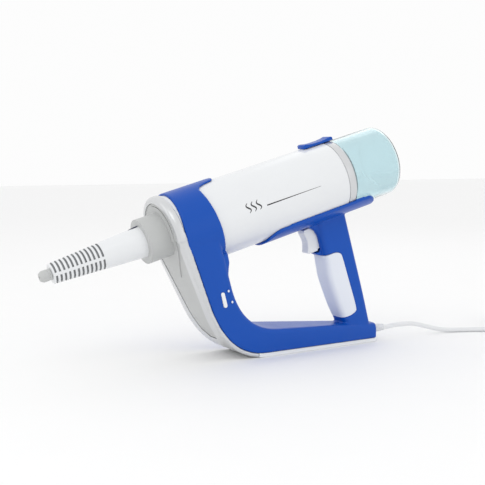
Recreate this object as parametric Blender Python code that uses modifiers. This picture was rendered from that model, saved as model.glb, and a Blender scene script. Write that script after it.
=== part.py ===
"""Handheld steam unit of a steam mop: a pitched barrel with a boiler, a water tank at the
rear, a steam nozzle at the front and a D-shaped frame with a pistol handle.

Frame: +Z up, the flat base on z = 0, the nozzle towards -X, the tank and the cord towards +X.
Barrel pieces are written as (s, v): s along the barrel axis towards the tank, v square to it.
"""
import math

import bmesh
import bpy
from mathutils import Matrix, Vector

MM = 0.001

# --- driving dimensions -------------------------------------------------------------------
GAP = 0.3 * MM                      # running and seating clearance
PAST_MIDDLE = 2.0 * MM              # how far a half is drawn past the middle before the cut
WALL = 2.5 * MM                     # wall of the plastic shells
BARREL_RADIUS = 45.0 * MM
BARREL_PITCH = math.radians(16.0)
AXIS_HEIGHT = 189.6 * MM            # barrel axis above the floor, at s = 0
FACE_S = -165.0 * MM                # front face of the nose
COLLAR_FRONT_S = -154.0 * MM
COLLAR_REAR_S = -114.0 * MM
TAB_TIP_S = -86.0 * MM
BARREL_REAR_S = 70.0 * MM
RING_WIDTH = 10.5 * MM
TANK_LENGTH = 71.0 * MM
TANK_RADIUS = 43.8 * MM
TANK_WALL = 2.2 * MM
CRADLE_FRONT_S = -50.0 * MM
CRADLE_REAR_S = 114.0 * MM
CRADLE_HALF_WIDTH = 34.0 * MM
CRADLE_WALL = 3.0 * MM
HANDLE_FRONT_S = 30.0 * MM
HANDLE_REAR_S = 73.0 * MM
HANDLE_HALF_WIDTH = 16.5 * MM
GRIP_TOP_V = -88.0 * MM
GRIP_BOTTOM_V = -172.0 * MM
GRIP_WIDTH_S = 24.0 * MM            # how far back the soft insert reaches
GRIP_SKIN = 2.3 * MM
BASE_REAR_X = 133.0 * MM
BASE_TRIM_HEIGHT = 5.0 * MM
BASE_TOP_FRONT_Z = 34.5 * MM
BASE_TOP_REAR_Z = 24.0 * MM
BASE_REAR_HALF_WIDTH = 14.0 * MM
BASE_FRONT_HALF_WIDTH = 33.0 * MM
LEG_LOW_HALF_WIDTH = 38.0 * MM
BEND_X = -89.0 * MM                 # where the front edge of the leg would meet the base
INNER_BEND_X = -69.0 * MM
NOZZLE_ROOT_RADIUS = 19.5 * MM
NOZZLE_NOSE_RADIUS = 11.8 * MM
NOZZLE_ROOT_S = -161.0 * MM
NOZZLE_NOSE_S = -300.0 * MM
NOZZLE_OFFSET = 3.0 * MM            # nozzle axis above the barrel axis
RIB_COUNT = 12
RIB_PITCH = 5.0 * MM
TIP_RADIUS = 6.6 * MM
TIP_LENGTH = 13.0 * MM
TRIGGER_HALF_WIDTH = 7.0 * MM
TRIGGER_PIVOT = (37.0 * MM, -54.0 * MM)
PIN_RADIUS = 2.0 * MM
LATCH_S = 63.0 * MM
LATCH_LENGTH = 42.0 * MM
LATCH_WIDTH = 17.0 * MM
LATCH_TRAVEL = 6.0 * MM
BOILER_RADIUS = 27.0 * MM
BOILER_FRONT_S = -92.0 * MM
BOILER_REAR_S = -34.0 * MM
BOILER_BORE = 14.0 * MM
CORD_RADIUS = 3.0 * MM
CORD_EXIT_Z = 15.0 * MM
COIL_CENTRE = (396.0 * MM, -8.0 * MM)
COIL_INNER = 24.0 * MM
COIL_OUTER = 49.0 * MM
COIL_HEIGHT = 30.0 * MM
SCREW_RADIUS = 1.6 * MM
SCREW_HEAD_RADIUS = 3.2 * MM
BOSS_RADIUS = 4.0 * MM

CLEAR_RADIUS = BARREL_RADIUS + GAP
COLLAR_RADIUS = CLEAR_RADIUS + 2.2 * MM
RING_REAR_S = BARREL_REAR_S + GAP + RING_WIDTH
TANK_FRONT_S = RING_REAR_S + GAP
TANK_REAR_S = TANK_FRONT_S + TANK_LENGTH

for old in list(bpy.data.objects):
    bpy.data.objects.remove(old, do_unlink=True)
for old_collection in list(bpy.data.collections):
    bpy.data.collections.remove(old_collection)

parts = bpy.data.collections.new("steam_mop")
tools = bpy.data.collections.new("cutters")
bpy.context.scene.collection.children.link(parts)
bpy.context.scene.collection.children.link(tools)


# --- materials ----------------------------------------------------------------------------
def material(name, colour, roughness, metallic=0.0, transmission=0.0):
    """One Principled material."""
    mat = bpy.data.materials.new(name)
    mat.use_nodes = True
    shader = mat.node_tree.nodes["Principled BSDF"]
    shader.inputs["Base Color"].default_value = (*colour, 1.0)
    shader.inputs["Roughness"].default_value = roughness
    shader.inputs["Metallic"].default_value = metallic
    shader.inputs["Transmission Weight"].default_value = transmission
    mat.diffuse_color = (*colour, 1.0)
    return mat


BLUE = material("blue_plastic", (0.0, 0.08, 0.46), 0.3)
WHITE = material("white_plastic", (0.86, 0.87, 0.88), 0.3)
GREY = material("grey_plastic", (0.6, 0.61, 0.6), 0.4)
DARK = material("dark_plastic", (0.12, 0.12, 0.13), 0.45)
SILVER = material("silver_trim", (0.72, 0.72, 0.74), 0.25, 0.8)
AQUA = material("aqua_tank", (0.55, 0.78, 0.84), 0.08, 0.0, 0.8)
SOFT = material("soft_grip", (0.78, 0.81, 0.88), 0.6)
ALUMINIUM = material("cast_aluminium", (0.6, 0.6, 0.6), 0.4, 1.0)
STEEL = material("steel", (0.55, 0.55, 0.56), 0.3, 1.0)
BRASS = material("brass", (0.7, 0.52, 0.22), 0.3, 1.0)
RUBBER = material("seal_rubber", (0.08, 0.08, 0.08), 0.7)
HOSE = material("silicone_hose", (0.75, 0.75, 0.72), 0.5)
BOARD = material("circuit_board", (0.02, 0.2, 0.08), 0.5)
CORD = material("cord_jacket", (0.85, 0.85, 0.85), 0.45)


# --- modelling helpers --------------------------------------------------------------------
def world(s, v):
    """World x and z of a point of the barrel frame."""
    x = s * math.cos(BARREL_PITCH) - v * math.sin(BARREL_PITCH)
    z = AXIS_HEIGHT + s * math.sin(BARREL_PITCH) + v * math.cos(BARREL_PITCH)
    return x, z


def link(obj, mat=None):
    """Put a part in its collection with its material, or a tool among the cutters."""
    if mat is None:
        tools.objects.link(obj)
        obj.hide_render = True
        obj.display_type = "WIRE"
    else:
        parts.objects.link(obj)
        obj.data.materials.clear()
        obj.data.materials.append(mat)
    return obj


barrel = bpy.data.objects.new("barrel_axis", None)
barrel.location = (0.0, 0.0, AXIS_HEIGHT)
barrel.rotation_euler = (0.0, -BARREL_PITCH, 0.0)
parts.objects.link(barrel)


def on_barrel(obj):
    """Place an object in the barrel frame."""
    obj.parent = barrel
    return obj


def mesh_object(name, bm, mat):
    """Turn a bmesh into a linked object with its faces pointing out."""
    bmesh.ops.recalc_face_normals(bm, faces=bm.faces)
    mesh = bpy.data.meshes.new(name)
    bm.to_mesh(mesh)
    bm.free()
    return link(bpy.data.objects.new(name, mesh), mat)


def turned(name, profile, mat, steps=32, axis=(1, 0, 0), at=(0.0, 0.0, 0.0), closed=True):
    """Turn (radius, height) points about an axis, in the barrel frame when it is X.

    The profile runs down the outer side from the greatest height, then back up inside.
    """
    mesh = bpy.data.meshes.new(name)
    edges = [(i, i + 1) for i in range(len(profile) - 1)]
    if closed:
        edges.append((len(profile) - 1, 0))
    mesh.from_pydata([(r, 0.0, h) for r, h in profile], edges, [])
    obj = link(bpy.data.objects.new(name, mesh), mat)
    screw = obj.modifiers.new("turn", "SCREW")
    screw.axis = "Z"
    screw.steps = steps
    screw.render_steps = steps
    screw.use_merge_vertices = True
    screw.merge_threshold = 0.00001
    screw.use_smooth_shade = False
    obj.rotation_euler = Vector((0, 0, 1)).rotation_difference(Vector(axis)).to_euler()
    obj.location = at
    return obj


def box(name, low, high, mat, bevel=0.0):
    """A box between two corners."""
    bm = bmesh.new()
    bmesh.ops.create_cube(bm, size=1.0)
    size = [b - a for a, b in zip(low, high)]
    centre = [(a + b) / 2 for a, b in zip(low, high)]
    bmesh.ops.scale(bm, vec=size, verts=bm.verts)
    bmesh.ops.translate(bm, vec=centre, verts=bm.verts)
    if bevel:
        bmesh.ops.bevel(bm, geom=bm.edges[:], offset=bevel, segments=2, profile=0.5,
                        affect="EDGES", material=-1)
    return mesh_object(name, bm, mat)


def rod(name, start, end, radius, mat, sides=20):
    """A plain cylinder between two points."""
    start = Vector(start)
    end = Vector(end)
    bm = bmesh.new()
    bmesh.ops.create_cone(bm, cap_ends=True, segments=sides, radius1=radius, radius2=radius,
                          depth=(end - start).length)
    turn = Vector((0, 0, 1)).rotation_difference(end - start).to_matrix().to_4x4()
    bmesh.ops.transform(bm, matrix=Matrix.Translation((start + end) / 2) @ turn,
                        verts=bm.verts)
    return mesh_object(name, bm, mat)


def as_mesh(curve_object, name, mat):
    """Replace a curve object by its mesh, caps welded, so that it can be cut."""
    bpy.context.view_layer.update()
    graph = bpy.context.evaluated_depsgraph_get()
    mesh = bpy.data.meshes.new_from_object(curve_object.evaluated_get(graph))
    bm = bmesh.new()
    bm.from_mesh(mesh)
    bmesh.ops.remove_doubles(bm, verts=bm.verts, dist=0.000001)
    bmesh.ops.recalc_face_normals(bm, faces=bm.faces)
    bm.to_mesh(mesh)
    bm.free()
    mesh.name = name
    place = curve_object.matrix_world.copy()
    bpy.data.objects.remove(curve_object, do_unlink=True)
    obj = bpy.data.objects.new(name, mesh)
    obj.matrix_world = place
    return link(obj, mat)


def prism(name, outline, low, high, mat, plane="XZ"):
    """A flat outline extruded between two levels along the third axis."""
    data = bpy.data.curves.new(name, "CURVE")
    data.dimensions = "2D"
    data.fill_mode = "BOTH"
    data.extrude = (high - low) / 2
    spline = data.splines.new("POLY")
    spline.points.add(len(outline) - 1)
    for point, (a, b) in zip(spline.points, outline):
        point.co = (a, b, 0.0, 1.0)
    spline.use_cyclic_u = True
    obj = bpy.data.objects.new(name, data)
    middle = (low + high) / 2
    if plane == "XZ":
        obj.matrix_world = Matrix.Translation((0, middle, 0)) @ Matrix.Rotation(
            math.radians(90), 4, "X")
    elif plane == "YZ":
        turn = Matrix(((0, 0, 1), (1, 0, 0), (0, 1, 0))).to_4x4()
        obj.matrix_world = Matrix.Translation((middle, 0, 0)) @ turn
    else:
        obj.matrix_world = Matrix.Translation((0, 0, middle))
    tools.objects.link(obj)
    return as_mesh(obj, name, mat)


def tube(name, points, radius, mat, resolution=2):
    """A round wire or hose through points."""
    data = bpy.data.curves.new(name, "CURVE")
    data.dimensions = "3D"
    data.bevel_depth = radius
    data.bevel_resolution = resolution
    data.use_fill_caps = True
    data.render_resolution_u = 0
    spline = data.splines.new("POLY")
    spline.points.add(len(points) - 1)
    for point, co in zip(spline.points, points):
        point.co = (*co, 1.0)
    return link(bpy.data.objects.new(name, data), mat)


def boolean(obj, tool, operation):
    """Cut, join or keep the common part of obj with a tool, and settle the result.

    The result is triangulated, so that later cuts meet truly flat faces.
    """
    modifier = obj.modifiers.new(operation.lower(), "BOOLEAN")
    modifier.operation = operation
    modifier.object = tool
    modifier.solver = "EXACT"
    bpy.context.view_layer.update()
    graph = bpy.context.evaluated_depsgraph_get()
    mesh = bpy.data.meshes.new_from_object(obj.evaluated_get(graph))
    bm = bmesh.new()
    bm.from_mesh(mesh)
    bmesh.ops.remove_doubles(bm, verts=bm.verts, dist=0.000005)
    bmesh.ops.dissolve_degenerate(bm, edges=bm.edges, dist=0.000002)
    bmesh.ops.triangulate(bm, faces=bm.faces)
    bm.to_mesh(mesh)
    bm.free()
    obj.modifiers.clear()
    obj.data = mesh
    return obj


def cut(obj, *cutters):
    """Take every cutter away from an object."""
    for cutter in cutters:
        boolean(obj, cutter, "DIFFERENCE")
    return obj


def add(obj, *others):
    """Join every other object to the first."""
    for other in others:
        boolean(obj, other, "UNION")
    return obj


def common(obj, tool):
    """Keep what lies inside the tool."""
    return boolean(obj, tool, "INTERSECT")


def smooth_path(points, per_span):
    """A Catmull-Rom curve through points, read per_span times between each pair."""
    pts = [Vector(p) for p in points]
    pts = [pts[0] * 2 - pts[1]] + pts + [pts[-1] * 2 - pts[-2]]
    out = []
    for i in range(1, len(pts) - 2):
        a, b, c, d = pts[i - 1:i + 3]
        for k in range(per_span):
            t = k / per_span
            out.append(0.5 * ((2 * b) + (c - a) * t + (2 * a - 5 * b + 4 * c - d) * t * t
                              + (3 * b - a - 3 * c + d) * t ** 3))
    out.append(pts[-2])
    return out


def spring(name, start, end, radius, wire, turns, mat):
    """A compression spring between two points of the barrel frame."""
    start = Vector(start)
    axis = Vector(end) - start
    turn = Vector((0, 0, 1)).rotation_difference(axis).to_matrix()
    count = int(turns * 10)
    points = []
    for i in range(count + 1):
        angle = 2 * math.pi * turns * i / count
        local = Vector((radius * math.cos(angle), radius * math.sin(angle),
                        wire + (axis.length - 2 * wire) * i / count))
        points.append(start + turn @ local)
    return on_barrel(tube(name, points, wire, mat, 1))


# --- the D-shaped frame: stations along the leg and the base -------------------------------
def corner_path(top, bend, end, up_length, run_length):
    """Down a straight edge, round one corner and along the base: eleven points."""
    top, bend, end = Vector(top), Vector(bend), Vector(end)
    leave = bend + (top - bend).normalized() * up_length
    meet = bend + (end - bend).normalized() * run_length
    points = [top, top.lerp(leave, 0.35), top.lerp(leave, 0.7), leave]
    for t in (0.2, 0.4, 0.6, 0.8):
        points.append(leave * (1 - t) ** 2 + bend * 2 * t * (1 - t) + meet * t * t)
    points += [meet, meet.lerp(end, 0.5), end]
    return points


LEG_TOP_V = 5.0 * MM                # the leg starts inside the collar
OUTER_EDGE = corner_path(world(COLLAR_FRONT_S + GAP, LEG_TOP_V), (BEND_X, BASE_TRIM_HEIGHT),
                         (BASE_REAR_X, BASE_TRIM_HEIGHT), 65 * MM, 50 * MM)
INNER_EDGE = corner_path(world(COLLAR_REAR_S - GAP, LEG_TOP_V), (INNER_BEND_X, BASE_TOP_FRONT_Z),
                         (BASE_REAR_X, BASE_TOP_REAR_Z), 52 * MM, 47 * MM)
TRIM_EDGE = corner_path(world(FACE_S, LEG_TOP_V), (BEND_X, 0.0), (BASE_REAR_X, 0.0),
                        65 * MM, 50 * MM)
LEG_TOP_HALF_WIDTH = COLLAR_RADIUS - 0.4 * MM
HALF_WIDTHS = [LEG_TOP_HALF_WIDTH + (LEG_LOW_HALF_WIDTH - LEG_TOP_HALF_WIDTH) * k / 3
               for k in range(4)]
HALF_WIDTHS += [LEG_LOW_HALF_WIDTH + (BASE_FRONT_HALF_WIDTH - LEG_LOW_HALF_WIDTH) * k / 5
                for k in range(1, 6)]
HALF_WIDTHS += [(BASE_FRONT_HALF_WIDTH + BASE_REAR_HALF_WIDTH) / 2, BASE_REAR_HALF_WIDTH]


def loft(name, outer, inner, widths, side, mat, inset=0.0, outer_round=0.5 * MM,
         inner_round=4.0 * MM, reach=0.0, outer_inset=None, inner_inset=None,
         side_inset=None, middle=-PAST_MIDDLE):
    """A solid through rounded sections; side -1 or 1 is a half, 0 is both halves.

    Insets shrink the section, and reach lengthens both ends, for the hollow of a shell.
    """
    outer_inset = inset if outer_inset is None else outer_inset
    inner_inset = inset if inner_inset is None else inner_inset
    side_inset = inset if side_inset is None else side_inset
    rings = []
    for a, b, width in zip(outer, inner, widths):
        a, b = Vector(a), Vector(b)
        depth = (b - a).length
        along = (b - a).normalized()
        w = width - side_inset
        start, end = outer_inset, depth - inner_inset
        ro, ri = outer_round, inner_round
        half = [(start, w - ro), (start + 0.3 * ro, w - 0.3 * ro), (start + ro, w),
                (end - ri, w), (end - 0.3 * ri, w - 0.3 * ri), (end, w - ri)]
        if side:
            ring = [(start, middle)] + half + [(end, middle)]
            ring = [(t, side * y) for t, y in ring]
        else:
            ring = half + [(t, -y) for t, y in reversed(half)]
        rings.append([Vector((a.x + along.x * t, y, a.y + along.y * t)) for t, y in ring])
    if reach:
        for end, near in ((0, 1), (-1, -2)):
            step = rings[end][0] - rings[near][0]
            shift = step.normalized() * reach
            rings[end] = [p + shift for p in rings[end]]
    bm = bmesh.new()
    loops = [[bm.verts.new(p) for p in ring] for ring in rings]
    for first, second in zip(loops, loops[1:]):
        for k in range(len(first)):
            j = (k + 1) % len(first)
            bm.faces.new((first[k], first[j], second[j], second[k]))
    bm.faces.new(loops[0])
    bm.faces.new(loops[-1])
    return mesh_object(name, bm, mat)


def handle_stations():
    """Rear and front edges and half widths down the handle."""
    front = [(-38, 0, 0), (-60, 0, 0), (-84, 0, 0), (-90, 1, 0), (-118, -1, 0),
             (-140, 1, 0), (-158, 3, 0.3), (-176, 7, 1), (-192, 8, 1.5)]
    rear, fore, widths = [], [], []
    for v, shift, slim in front:
        rear.append(world(HANDLE_REAR_S, v * MM))
        fore.append(world(HANDLE_FRONT_S + shift * MM, v * MM))
        widths.append(HANDLE_HALF_WIDTH - slim * MM)
    return rear, fore, widths


HANDLE_REAR, HANDLE_FORE, HANDLE_WIDTHS = handle_stations()

barrel_space = on_barrel(turned("barrel_space", [(0, 200 * MM), (CLEAR_RADIUS, 200 * MM),
                                                 (CLEAR_RADIUS, -170 * MM), (0, -170 * MM)],
                                None, 48, closed=False))


def grip_zone(name, shrink, mat=None):
    """The stretch of the handle that the soft insert covers, as a block across it."""
    top = GRIP_TOP_V - shrink
    bottom = GRIP_BOTTOM_V + shrink
    reach = HANDLE_FRONT_S + GRIP_WIDTH_S - shrink
    slope = 3.0 * MM
    outline = [world(HANDLE_FRONT_S - 12 * MM, top), world(reach - 5 * MM, top),
               world(reach, top - 5 * MM), world(reach + slope, bottom + 6 * MM),
               world(reach - 3 * MM, bottom), world(HANDLE_FRONT_S - 12 * MM, bottom)]
    return prism(name, outline, -40 * MM, 40 * MM, mat)


def in_plane(plan):
    """Outline in (s, y) from points given in mm."""
    return [(a * MM, b * MM) for a, b in plan]


def half_plan(points, side):
    """The part of a plan outline on one side, closed along the middle."""
    return [(s, side * (y if y > 0 else -PAST_MIDDLE)) for s, y in points]


def half_width_at(x, z):
    """Half width of the leg or the base beside the point (x, z)."""
    here = Vector((x, z))
    middles = [(a + b) / 2 for a, b in zip(OUTER_EDGE, INNER_EDGE)]
    best = None
    for k in range(len(middles) - 1):
        step = middles[k + 1] - middles[k]
        share = min(max((here - middles[k]).dot(step) / step.length_squared, 0.0), 1.0)
        miss = (middles[k] + step * share - here).length
        if best is None or miss < best[0]:
            width = HALF_WIDTHS[k] + (HALF_WIDTHS[k + 1] - HALF_WIDTHS[k]) * share
            best = (miss, width)
    return best[1]


SCREW_PLACES = [world(-130 * MM, -58 * MM), world(-126 * MM, -100 * MM),
                (-52 * MM, 19 * MM), (8 * MM, 15 * MM), (74 * MM, 15 * MM)]
SCREWS = [(place, half_width_at(*place)) for place in SCREW_PLACES]
HANDLE_SCREW = world(64 * MM, -72 * MM)
SCREWS.append((HANDLE_SCREW, HANDLE_HALF_WIDTH))

RELIEF_RADIUS = 5.8 * MM
WINDOW_ENDS = [Vector((-99.6, 79.5)) * MM, Vector((-96.0, 66.0)) * MM]
WINDOW_RADIUS = 2.3 * MM


def stadium(ends, radius):
    """A slot outline with round ends between two points."""
    first, second = ends
    along = (second - first).normalized()
    start = math.atan2(along.y, along.x)
    points = []
    for centre, turn in ((second, -90), (first, 90)):
        for k in range(7):
            angle = start + math.radians(turn + 30 * k)
            points.append((centre.x + radius * math.cos(angle),
                           centre.y + radius * math.sin(angle)))
    return points


def frame_shell(name, heads, mirrored):
    """One moulding of the frame: collar, leg, base, handle and cradle.

    It is drawn on the +Y side; heads makes through holes for the screw heads, and mirrored
    turns it into the other side's moulding.
    """
    side = 1
    shell = loft(name, OUTER_EDGE, INNER_EDGE, HALF_WIDTHS, side, BLUE)
    rear_wall = Vector((-WALL, 0.0))
    hollow = loft(name + "_hollow", OUTER_EDGE[:-1] + [OUTER_EDGE[-1] + rear_wall],
                  INNER_EDGE[:-1] + [INNER_EDGE[-1] + rear_wall], HALF_WIDTHS, side, None,
                  inset=WALL, inner_round=2 * MM, outer_round=0.4 * MM, middle=-2 * PAST_MIDDLE)
    handle = loft(name + "_handle", HANDLE_REAR, HANDLE_FORE, HANDLE_WIDTHS, side, None,
                  outer_round=4 * MM, inner_round=6 * MM)
    inside = loft(name + "_handle_inside", HANDLE_REAR[:3], HANDLE_FORE[:3],
                  HANDLE_WIDTHS[:3], side, None, inset=WALL, outer_round=3 * MM,
                  inner_round=3 * MM, middle=-2 * PAST_MIDDLE, reach=-2 * MM)
    core = loft(name + "_grip_inside", HANDLE_REAR[2:], HANDLE_FORE[2:], HANDLE_WIDTHS[2:],
                side, None, outer_inset=WALL, inner_inset=GRIP_SKIN + GAP + 2 * MM,
                side_inset=GRIP_SKIN + GAP + 2 * MM, outer_round=3 * MM,
                inner_round=3 * MM, middle=-2 * PAST_MIDDLE, reach=1 * MM)
    cut(shell, hollow)
    cut(handle, inside, core)
    zone = grip_zone(name + "_grip_zone", 0.0)
    kept = loft(name + "_grip_core", HANDLE_REAR[2:], HANDLE_FORE[2:], HANDLE_WIDTHS[2:], 0,
                None, outer_inset=-5 * MM, inner_inset=GRIP_SKIN + GAP,
                side_inset=GRIP_SKIN + GAP, outer_round=4 * MM, inner_round=5 * MM,
                reach=2 * MM)
    cut(zone, kept)
    cut(handle, zone)

    collar = on_barrel(turned(name + "_collar", [
        (COLLAR_RADIUS, COLLAR_REAR_S), (COLLAR_RADIUS, COLLAR_FRONT_S),
        (CLEAR_RADIUS - MM, COLLAR_FRONT_S), (CLEAR_RADIUS - MM, COLLAR_REAR_S)], None, 48))
    tab = on_barrel(turned(name + "_tab", [
        (COLLAR_RADIUS, TAB_TIP_S + 5 * MM), (COLLAR_RADIUS, COLLAR_REAR_S - 4 * MM),
        (CLEAR_RADIUS - MM, COLLAR_REAR_S - 4 * MM),
        (CLEAR_RADIUS - MM, TAB_TIP_S + 5 * MM)], None, 48))
    tip = TAB_TIP_S / MM
    root = COLLAR_REAR_S / MM
    tab_plan = half_plan(in_plane([(root - 5, 0), (root - 5, 24), (root, 20), (root + 8, 13),
                                   (tip - 6, 9), (tip - 2, 6), (tip, 0)]), side)
    common(tab, on_barrel_prism(name + "_tab_plan", tab_plan, 0, 60 * MM))
    front = CRADLE_FRONT_S / MM
    back = CRADLE_REAR_S / MM
    wide = CRADLE_HALF_WIDTH / MM
    cradle = on_barrel(turned(name + "_cradle", [
        (CLEAR_RADIUS + CRADLE_WALL, CRADLE_REAR_S + 5 * MM),
        (CLEAR_RADIUS + CRADLE_WALL, CRADLE_FRONT_S - 5 * MM),
        (CLEAR_RADIUS - MM, CRADLE_FRONT_S - 5 * MM),
        (CLEAR_RADIUS - MM, CRADLE_REAR_S + 5 * MM)], None, 48))
    cradle_plan = half_plan(in_plane([
        (front, 0), (front + 1, 12), (front + 4, 24), (front + 10, wide - 4),
        (front + 20, wide), (back - 22, wide), (back - 9, wide - 5), (back - 3, wide - 14),
        (back, wide - 24), (back, 0)]), side)
    common(cradle, on_barrel_prism(name + "_cradle_plan", cradle_plan, -60 * MM, -20 * MM))
    low, high = sorted((-PAST_MIDDLE * side, 100 * MM * side))
    half_box = box(name + "_half", (-0.3, low, 0), (0.3, high, 0.35), None)
    common(collar, half_box)
    common(collar, on_barrel(box(name + "_collar_top", (-0.2, -0.1, -LEG_TOP_V * 0.6),
                                 (0.0, 0.1, 0.1), None)))
    add(shell, handle, collar, tab, cradle)
    cut(shell, barrel_space)
    passage = box(name + "_passage", (96 * MM, -9 * MM, 14 * MM), (110 * MM, 9 * MM, 40 * MM),
                  None)
    lead_hole = on_barrel(box(name + "_lead_hole", (46 * MM, -4 * MM, -88 * MM),
                              (60 * MM, 4 * MM, -78 * MM), None))
    cut(shell, passage, lead_hole)
    for number, ((x, z), width) in enumerate(SCREWS):
        boss = rod("%s_boss_%d" % (name, number), (x, -side * PAST_MIDDLE, z),
                   (x, side * (width - 0.8 * MM), z), BOSS_RADIUS, None, 14)
        add(shell, boss)
        depth = width + 2 * MM if heads else 10 * MM
        hole = rod("%s_hole_%d" % (name, number), (x, -5 * MM * side, z), (x, side * depth, z),
                   SCREW_RADIUS + GAP, None, 12)
        cut(shell, hole)
        if heads:
            head = rod("%s_head_%d" % (name, number), (x, width - 4 * MM, z),
                       (x, width + 4 * MM, z), SCREW_HEAD_RADIUS + GAP, None, 16)
            cut(shell, head)
    slot_half = TRIGGER_HALF_WIDTH + GAP + 0.1 * MM
    cut(shell, on_barrel(box(name + "_trigger_slot", (HANDLE_FRONT_S - 2 * MM, -slot_half,
                                                      -83 * MM),
                             (HANDLE_FRONT_S + 5 * MM, slot_half, -49 * MM), None)))
    cut(shell, rod(name + "_cord_hole", (BASE_REAR_X - 6 * MM, 0, CORD_EXIT_Z),
                   (BASE_REAR_X + 6 * MM, 0, CORD_EXIT_Z), RELIEF_RADIUS + GAP, None))
    if mirrored:
        cut(shell, prism(name + "_window_hole", stadium(WINDOW_ENDS, WINDOW_RADIUS + GAP),
                         20 * MM, 60 * MM, None))
    low, high = sorted((-60 * MM * side, GAP / 2 * side))
    cut(shell, box(name + "_other_half", (-0.4, low, -0.1), (0.4, high, 0.4), None))
    if mirrored:
        shell.data.transform(Matrix.Scale(-1, 4, (0, 1, 0)))
        shell.data.flip_normals()
    return shell


def on_barrel_prism(name, outline, low, high, mat=None):
    """A plan outline in (s, y) extruded between two v levels of the barrel frame."""
    return on_barrel(prism(name, outline, low, high, mat, "XY"))


left_shell = frame_shell("left_shell", heads=False, mirrored=True)
right_shell = frame_shell("right_shell", heads=True, mirrored=False)


def along_barrel(name, profile, mat, steps=32, v=0.0, closed=True):
    """A turned piece on the barrel axis, or v above it; profile points are (radius, s)."""
    return on_barrel(turned(name, [(r * MM, s * MM) for r, s in profile], mat, steps,
                            at=(0.0, 0.0, v), closed=closed))


def mm(value):
    """A length in millimetres, for profiles."""
    return value / MM


# --- barrel -------------------------------------------------------------------------------
radius = mm(BARREL_RADIUS)
bore = radius - mm(WALL)
rear = mm(BARREL_REAR_S)
front = mm(COLLAR_FRONT_S)
gap = mm(GAP)
ring_rear = mm(RING_REAR_S)
tank_front = mm(TANK_FRONT_S)
tank_rear = mm(TANK_REAR_S)
latch = mm(LATCH_S)
travel = mm(LATCH_TRAVEL)

STEM_HALF = 4 * MM
STEM_S = LATCH_S - 10 * MM
barrel_housing = along_barrel("barrel_housing", [(radius, rear), (radius, front),
                                                 (bore, front), (bore, rear)], WHITE, 48)
add(barrel_housing, on_barrel(box("spring_seat", (STEM_S - 18 * MM, -3 * MM,
                                                  BARREL_RADIUS - 9 * MM),
                                  (STEM_S - 15 * MM, 3 * MM, BARREL_RADIUS - 1 * MM), None)))
cut(barrel_housing, on_barrel(box("latch_slot", (STEM_S - 3 * MM - LATCH_TRAVEL - GAP,
                                                 -STEM_HALF - GAP, BARREL_RADIUS - 9 * MM),
                                  (STEM_S + 3 * MM + GAP, STEM_HALF + GAP,
                                   BARREL_RADIUS + 5 * MM), None)))

latch_button = box("latch_button", (LATCH_S - LATCH_LENGTH / 2, -LATCH_WIDTH / 2,
                                    BARREL_RADIUS + GAP),
                   (LATCH_S + LATCH_LENGTH / 2, LATCH_WIDTH / 2, BARREL_RADIUS + 5 * MM),
                   BLUE, 1.5 * MM)
add(on_barrel(latch_button), on_barrel(box("latch_stem", (STEM_S - 3 * MM, -STEM_HALF,
                                                          BARREL_RADIUS - 8 * MM),
                                           (STEM_S + 3 * MM, STEM_HALF,
                                            BARREL_RADIUS + 2 * MM), None)))
LATCH_SPRING_V = BARREL_RADIUS - 5.5 * MM
spring("latch_spring", (STEM_S - 15 * MM + GAP, 0, LATCH_SPRING_V),
       (STEM_S - 3 * MM - GAP, 0, LATCH_SPRING_V), 2.2 * MM, 0.4 * MM, 4, STEEL)

tank_ring = along_barrel("tank_ring", [
    (radius, ring_rear), (radius, rear + gap), (bore - gap, rear + gap),
    (bore - gap, rear - 8), (bore - 3, rear - 8), (bore - 3, ring_rear)], SILVER, 48)
bulkhead = bore - 3 - gap
port = 5.0
rear_bulkhead = along_barrel("rear_bulkhead", [
    (bulkhead, rear - 3), (bulkhead, rear - 6), (port + gap, rear - 6),
    (port + gap, rear - 3)], GREY)
port_end = ring_rear - 2.5
dock_port = along_barrel("dock_port", [(port, port_end), (port, rear - 20),
                                       (2, rear - 20), (2, port_end)], BRASS, 20)

# --- water tank ---------------------------------------------------------------------------
tank = mm(TANK_RADIUS)
inner = tank - mm(TANK_WALL)
fillet = 8.0
wall = mm(TANK_WALL)


def rounded_end(big, end, turn, steps):
    """Profile points round the rear edge of the tank, from the end face to the side."""
    points = []
    for k in range(steps + 1):
        angle = math.radians(90 - 90 * k / steps)
        points.append((big - turn + turn * math.cos(angle), end - turn + turn * math.sin(angle)))
    return points


water_tank = along_barrel("water_tank", [(0, tank_rear)]
                          + rounded_end(tank, tank_rear, fillet, 4)
                          + [(tank, tank_front), (inner, tank_front)]
                          + rounded_end(inner, tank_rear - wall, fillet - wall, 4)[::-1]
                          + [(0, tank_rear - wall)], AQUA, 48, closed=False)
lid = inner - gap
CAP_V = 22 * MM
CAP_RADIUS = 9.9 * MM
tank_lid = along_barrel("tank_lid", [(lid, tank_front + 3), (lid, tank_front),
                                     (port + 1, tank_front), (port + 1, tank_front + 3)], GREY)
cut(tank_lid, on_barrel(rod("cap_hole", (TANK_FRONT_S - 5 * MM, 0, CAP_V),
                            (TANK_FRONT_S + 8 * MM, 0, CAP_V), CAP_RADIUS + GAP, None)))
cap = mm(CAP_RADIUS)
fill_cap = along_barrel("fill_cap", [(0, tank_front + 6), (cap, tank_front + 6),
                                     (cap, tank_front - gap), (cap + 2, tank_front - gap),
                                     (cap + 2, tank_front - 4), (0, tank_front - 4)],
                        BLUE, 24, CAP_V, closed=False)
add(fill_cap, on_barrel(box("cap_bar", (TANK_FRONT_S - 7 * MM, -8 * MM, CAP_V - 1.2 * MM),
                            (TANK_FRONT_S - 3 * MM, 8 * MM, CAP_V + 1.2 * MM), None)))
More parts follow.
